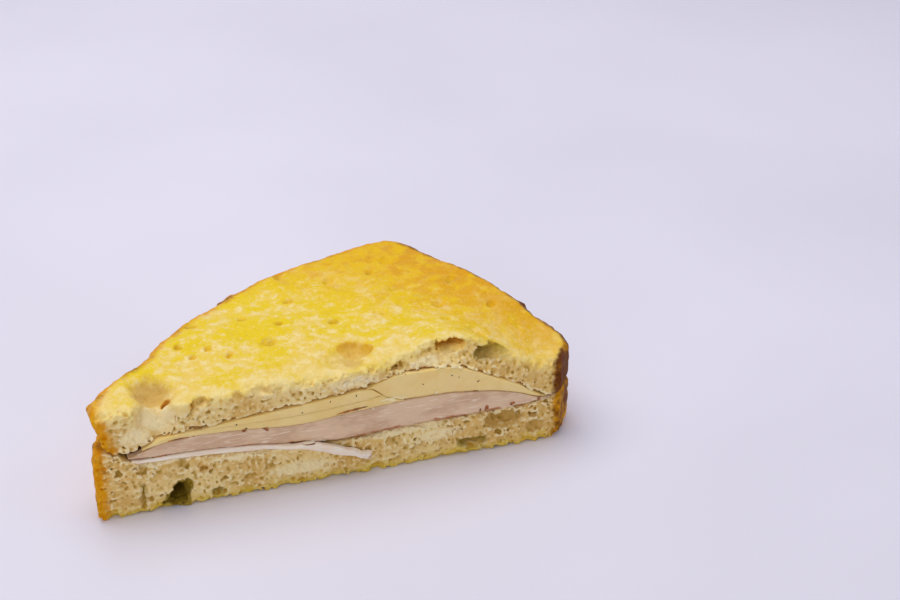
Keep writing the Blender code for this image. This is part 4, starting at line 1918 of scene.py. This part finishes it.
@dataclass(frozen=True)
class TurkeyFinish:
    """Cooked, sliced turkey with fine fibres along the slice."""

    meat: Colour = (232, 200, 164)
    shade: Colour = (214, 178, 142)
    streak: Colour = (252, 232, 206)
    edge: Colour = (176, 104, 50)

    def make(self, name: str, edge_strength: float) -> bpy.types.Material:
        """Make the finish.

        Args:
            name: Its name.
            edge_strength: How brown the slice's lower rim is.

        Returns:
            The material.
        """
        board = Board(name)
        fibres = board.noise(0.55, 3.0, 2.0, (0.09, 0.5, 1.0))
        broad = board.noise(5.0, 2.0, 9.0, (0.4, 1.0, 1.0))
        shaded = (broad + 0.5 * (fibres - 0.5)).between(0.42, 0.62)
        colour = board.blend(self.meat, self.shade, shaded)
        colour = board.blend(colour, self.streak, fibres.between(0.55, 0.68) * 0.75)
        across = board.stored("across")
        uneven = 0.25 * (board.noise(2.5, 3.0, 4.0) - 0.5)
        rim = (1.0 - (across + uneven).between(0.02, 0.12)) * edge_strength
        patches = board.noise(6.0, 2.0, 41.0).between(0.42, 0.56)
        colour = board.blend(colour, self.edge, rim * patches)
        board.bump(fibres, 0.3, 0.35)
        return board.finish(
            Base_Color=colour, Roughness=0.42, Subsurface_Weight=0.2,
            Subsurface_Radius=(1.0, 0.6, 0.5), Subsurface_Scale=0.003,
        )


@dataclass(frozen=True)
class CheeseFinish:
    """Soft, sliced cheese."""

    body: Colour = (252, 221, 147)
    deep: Colour = (248, 214, 134)
    gloss: float = 0.34

    def make(self, name: str) -> bpy.types.Material:
        """Make the finish.

        Args:
            name: Its name.

        Returns:
            The material.
        """
        board = Board(name)
        broad = board.noise(6.0, 2.0, 3.0)
        colour = board.blend(self.body, self.deep, broad.between(0.4, 0.66))
        board.bump(board.noise(1.6, 2.0, 6.0), 0.25, 0.3)
        return board.finish(
            Base_Color=colour, Roughness=self.gloss, Subsurface_Weight=0.25,
            Subsurface_Radius=(1.0, 0.8, 0.4), Subsurface_Scale=0.003,
        )


@dataclass(frozen=True)
class PlainFinish:
    """One colour."""

    colour: Colour
    roughness: float = 0.6
    darkening: float = 0.97
    size: float = 200.0

    def make(self, name: str) -> bpy.types.Material:
        """Make the finish with a little unevenness.

        Args:
            name: Its name.

        Returns:
            The material.
        """
        board = Board(name)
        darker = tuple(part * self.darkening for part in self.colour)
        colour = board.blend(self.colour, darker, board.noise(self.size).between(0.3, 0.7))
        return board.finish(Base_Color=colour, Roughness=self.roughness)


@dataclass(frozen=True)
class Light:
    """A soft square light that looks at the food."""

    name: str
    place: tuple[float, float, float]
    size: float
    power: float
    colour: Colour

    def hang(self, target: Vector) -> None:
        """Put the light up and turn it to the target.

        Args:
            target: The place that it looks at.
        """
        data = bpy.data.lights.new(self.name, "AREA")
        data.size, data.energy, data.color = self.size, self.power, self.colour
        made = bpy.data.objects.new(self.name, data)
        place = Vector(self.place)
        turn = (target - place).to_track_quat("-Z", "Y")
        made.matrix_world = Matrix.LocRotScale(place, turn, None)
        bpy.context.scene.collection.objects.link(made)


@dataclass(frozen=True)
class Studio:
    """A pale floor that curves up behind, soft lights and the camera."""

    floor: Colour = (238, 237, 252)
    half_width: float = 1.6
    front: float = -1.2
    back: float = 0.75
    rise: float = 1.3
    curve: float = 0.35
    eye: tuple[float, float, float] = (-0.12145, -0.49695, 0.31223)
    ahead: tuple[float, float, float] = (0.28483, 0.83575, -0.46947)
    lens: float = 71.47
    sensor: float = 36.0
    target: tuple[float, float, float] = (0.0, 0.0, 0.02)
    lights: tuple[Light, ...] = (
        Light("overhead", (-0.15, 0.25, 0.9), 0.9, 5.5, (1.0, 0.98, 0.97)),
        Light("front", (-0.5, -0.9, 0.5), 0.8, 2.2, (1.0, 0.97, 0.98)),
        Light("side", (0.9, -0.3, 0.5), 0.8, 1.0, (0.97, 0.96, 1.0)),
    )
    sky: tuple[float, float, float, float] = (0.98, 0.95, 1.0, 1.0)
    sky_strength: float = 0.36

    def backdrop(self) -> bpy.types.Object:
        """Make the floor and the wall behind it as one sweep.

        Returns:
            The sweep.
        """
        line = [(self.front, 0.0), (self.back, 0.0)]
        for step in range(1, 13):
            angle = step * math.pi / 24
            line.append((
                self.back + self.curve * math.sin(angle), self.curve * (1.0 - math.cos(angle))
            ))
        line.append((self.back + self.curve, self.rise))
        points = [(side * self.half_width, y, z) for side in (-1, 1) for y, z in line]
        count = len(line)
        faces = [(i, i + count, i + count + 1, i + 1) for i in range(count - 1)]
        mesh = bpy.data.meshes.new("backdrop")
        mesh.from_pydata(points, [], faces)
        mesh.shade_smooth()
        made = bpy.data.objects.new("backdrop", mesh)
        bpy.context.scene.collection.objects.link(made)
        turn = math.atan2(-self.ahead[0], self.ahead[1])
        made.matrix_world = Matrix.Rotation(turn, 4, "Z")
        mesh.materials.append(PlainFinish(self.floor, 0.5).make("backdrop"))
        return made

    def camera(self) -> None:
        """Set up the view of the photo."""
        data = bpy.data.cameras.new("camera")
        data.lens = self.lens
        data.sensor_width = self.sensor
        data.clip_start = 0.01
        made = bpy.data.objects.new("camera", data)
        ahead = Vector(self.ahead).normalized()
        right = ahead.cross(Vector((0.0, 0.0, 1.0))).normalized()
        turn = Matrix((right, right.cross(ahead), -ahead)).transposed()
        made.matrix_world = Matrix.Translation(Vector(self.eye)) @ turn.to_4x4()
        bpy.context.scene.collection.objects.link(made)
        bpy.context.scene.camera = made

    def build(self) -> None:
        """Make the whole studio."""
        self.backdrop()
        self.camera()
        for light in self.lights:
            light.hang(Vector(self.target))
        world = bpy.data.worlds.new("world")
        world.use_nodes = True
        background = world.node_tree.nodes["Background"]
        background.inputs["Color"].default_value = self.sky
        background.inputs["Strength"].default_value = self.sky_strength
        bpy.context.scene.world = world
        bpy.context.scene.view_settings.view_transform = "Standard"


@dataclass
class Fillings:
    """Every sheet between the slices.

    The left cheese slices end in a slope and are split from one another at a height, both
    given as shares of the cheese's thickness along the cut.
    """

    layers: Layers
    left_end: Profile = Profile([
        (82.0, 0.99), (86.0, 0.9), (88.5, 0.62), (90.5, 0.3), (93.0, 0.14), (97.0, 0.04),
    ], blur=0.6)
    split: Profile = Profile([(30.0, 0.86), (40.0, 0.55), (64.0, 0.5), (97.0, 0.42)])
    split_from: tuple[float, float] = (26.0, 32.0)
    slope_gap: float = 0.05

    def _in_cheese(self, share: Profile, s: Array, n: Array) -> Array:
        """The surface at a share of the cheese's thickness."""
        return mix(self.layers.turkey_high(s, n), self.layers.cheese_high(s, n), share.at(s))

    def _split(self, s: Array, n: Array) -> Array:
        """The surface between the two left cheese slices."""
        return self._in_cheese(self.split, s, n)

    def _left_end(self, s: Array, n: Array) -> Array:
        """The slope in which the left cheese slices end."""
        return self._in_cheese(self.left_end, s, n)

    def _left_lower_top(self, s: Array, n: Array) -> Array:
        """The top of the left cheese's lower slice.

        Args:
            s: Places along the cut.
            n: Places into the food.

        Returns:
            The height at each place.
        """
        start, end = self.split_from
        shared = mix(
            self.layers.cheese_high(s, n), self._split(s, n) - 0.02,
            smooth((s - start) / (end - start)),
        )
        return np.minimum(shared, self._left_end(s, n) - self.slope_gap)

    def _left_upper_top(self, s: Array, n: Array) -> Array:
        """The top of the left cheese's upper slice."""
        sloped = np.minimum(self.layers.cheese_high(s, n), self._left_end(s, n) - self.slope_gap)
        return np.maximum(sloped, self._split(s, n) + 0.3)

    def _right_bottom(self, s: Array, n: Array) -> Array:
        """The underside of the right cheese slice, which lies on the left ones' slope."""
        return np.maximum(self.layers.turkey_high(s, n), self._left_end(s, n)) + 0.02

    def build(self) -> list[bpy.types.Object]:
        """Make and dress every sheet.

        Returns:
            The sheets.
        """
        layers = self.layers
        turkey = TurkeyFinish().make("turkey", edge_strength=0.9)
        pale = TurkeyFinish(
            meat=(255, 240, 218), shade=(250, 226, 200), streak=(255, 250, 238)
        ).make("pale_turkey", edge_strength=0.0)
        cheese = CheeseFinish().make("cheese")
        sheets = (
            (Filling(
                "turkey", "turkey_main", Slot.TURKEY, layers, (10.2, 145.6),
                lambda s, n: layers.turkey_low(s, n) + 0.12,
                lambda s, n: layers.turkey_high(s, n) - 0.04,
                (330, 16, 22), 31, fringe=0.22, crown=0.4,
            ), turkey),
            (DroopingTurkey(
                "thin_turkey", "turkey_thin", Slot.TURKEY, layers, (11.2, 84.2),
                layers.bottom_slice_top, layers.turkey_low,
                (200, 14, 10), 32, front=-0.6, fringe=0.2, crown=0.5,
            ), pale),
            (Filling(
                "left_cheese", "cheese_left_lower", Slot.CHEESE, layers, (14.6, 96.4),
                lambda s, n: layers.turkey_high(s, n) + 0.02, self._left_lower_top,
                (200, 14, 12), 33, front=-0.35,
            ), cheese),
            (Filling(
                "left_cheese_over", "cheese_left_upper", Slot.CHEESE, layers, (33.0, 89.2),
                lambda s, n: self._split(s, n) + 0.02, self._left_upper_top,
                (160, 14, 12), 34,
            ), cheese),
            (Filling(
                "right_cheese", "cheese_right", Slot.CHEESE, layers, (84.5, 144.4),
                self._right_bottom, layers.cheese_high,
                (150, 14, 16), 35, front=-0.15,
            ), cheese),
        )
        return [sheet.build(finish) for sheet, finish in sheets]


def corners(limits: tuple[Vector, Vector]) -> list[list[float]]:
    """Two corners as plain lists."""
    return [list(corner) for corner in limits]


def main() -> None:
    """Build every piece, the trimmings and the studio."""
    logging.basicConfig(level=logging.INFO, format="%(name)s %(message)s")
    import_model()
    layers = Layers(CrustLine(), Lumps(1))
    underside = BreadFinish(
        toast=(224, 190, 60), pale=(234, 210, 108), butter=(222, 188, 10), golden=(216, 150, 10),
        cut_edge=0.0, right_end_shade=0.12,
    )
    pieces = [LowerSlice(layers).build(underside), UpperSlice(layers).build(BreadFinish())]
    pieces += Fillings(layers).build()
    Trimmings().build(Front(pieces))
    Studio().build()


if __name__ == "__main__":
    main()
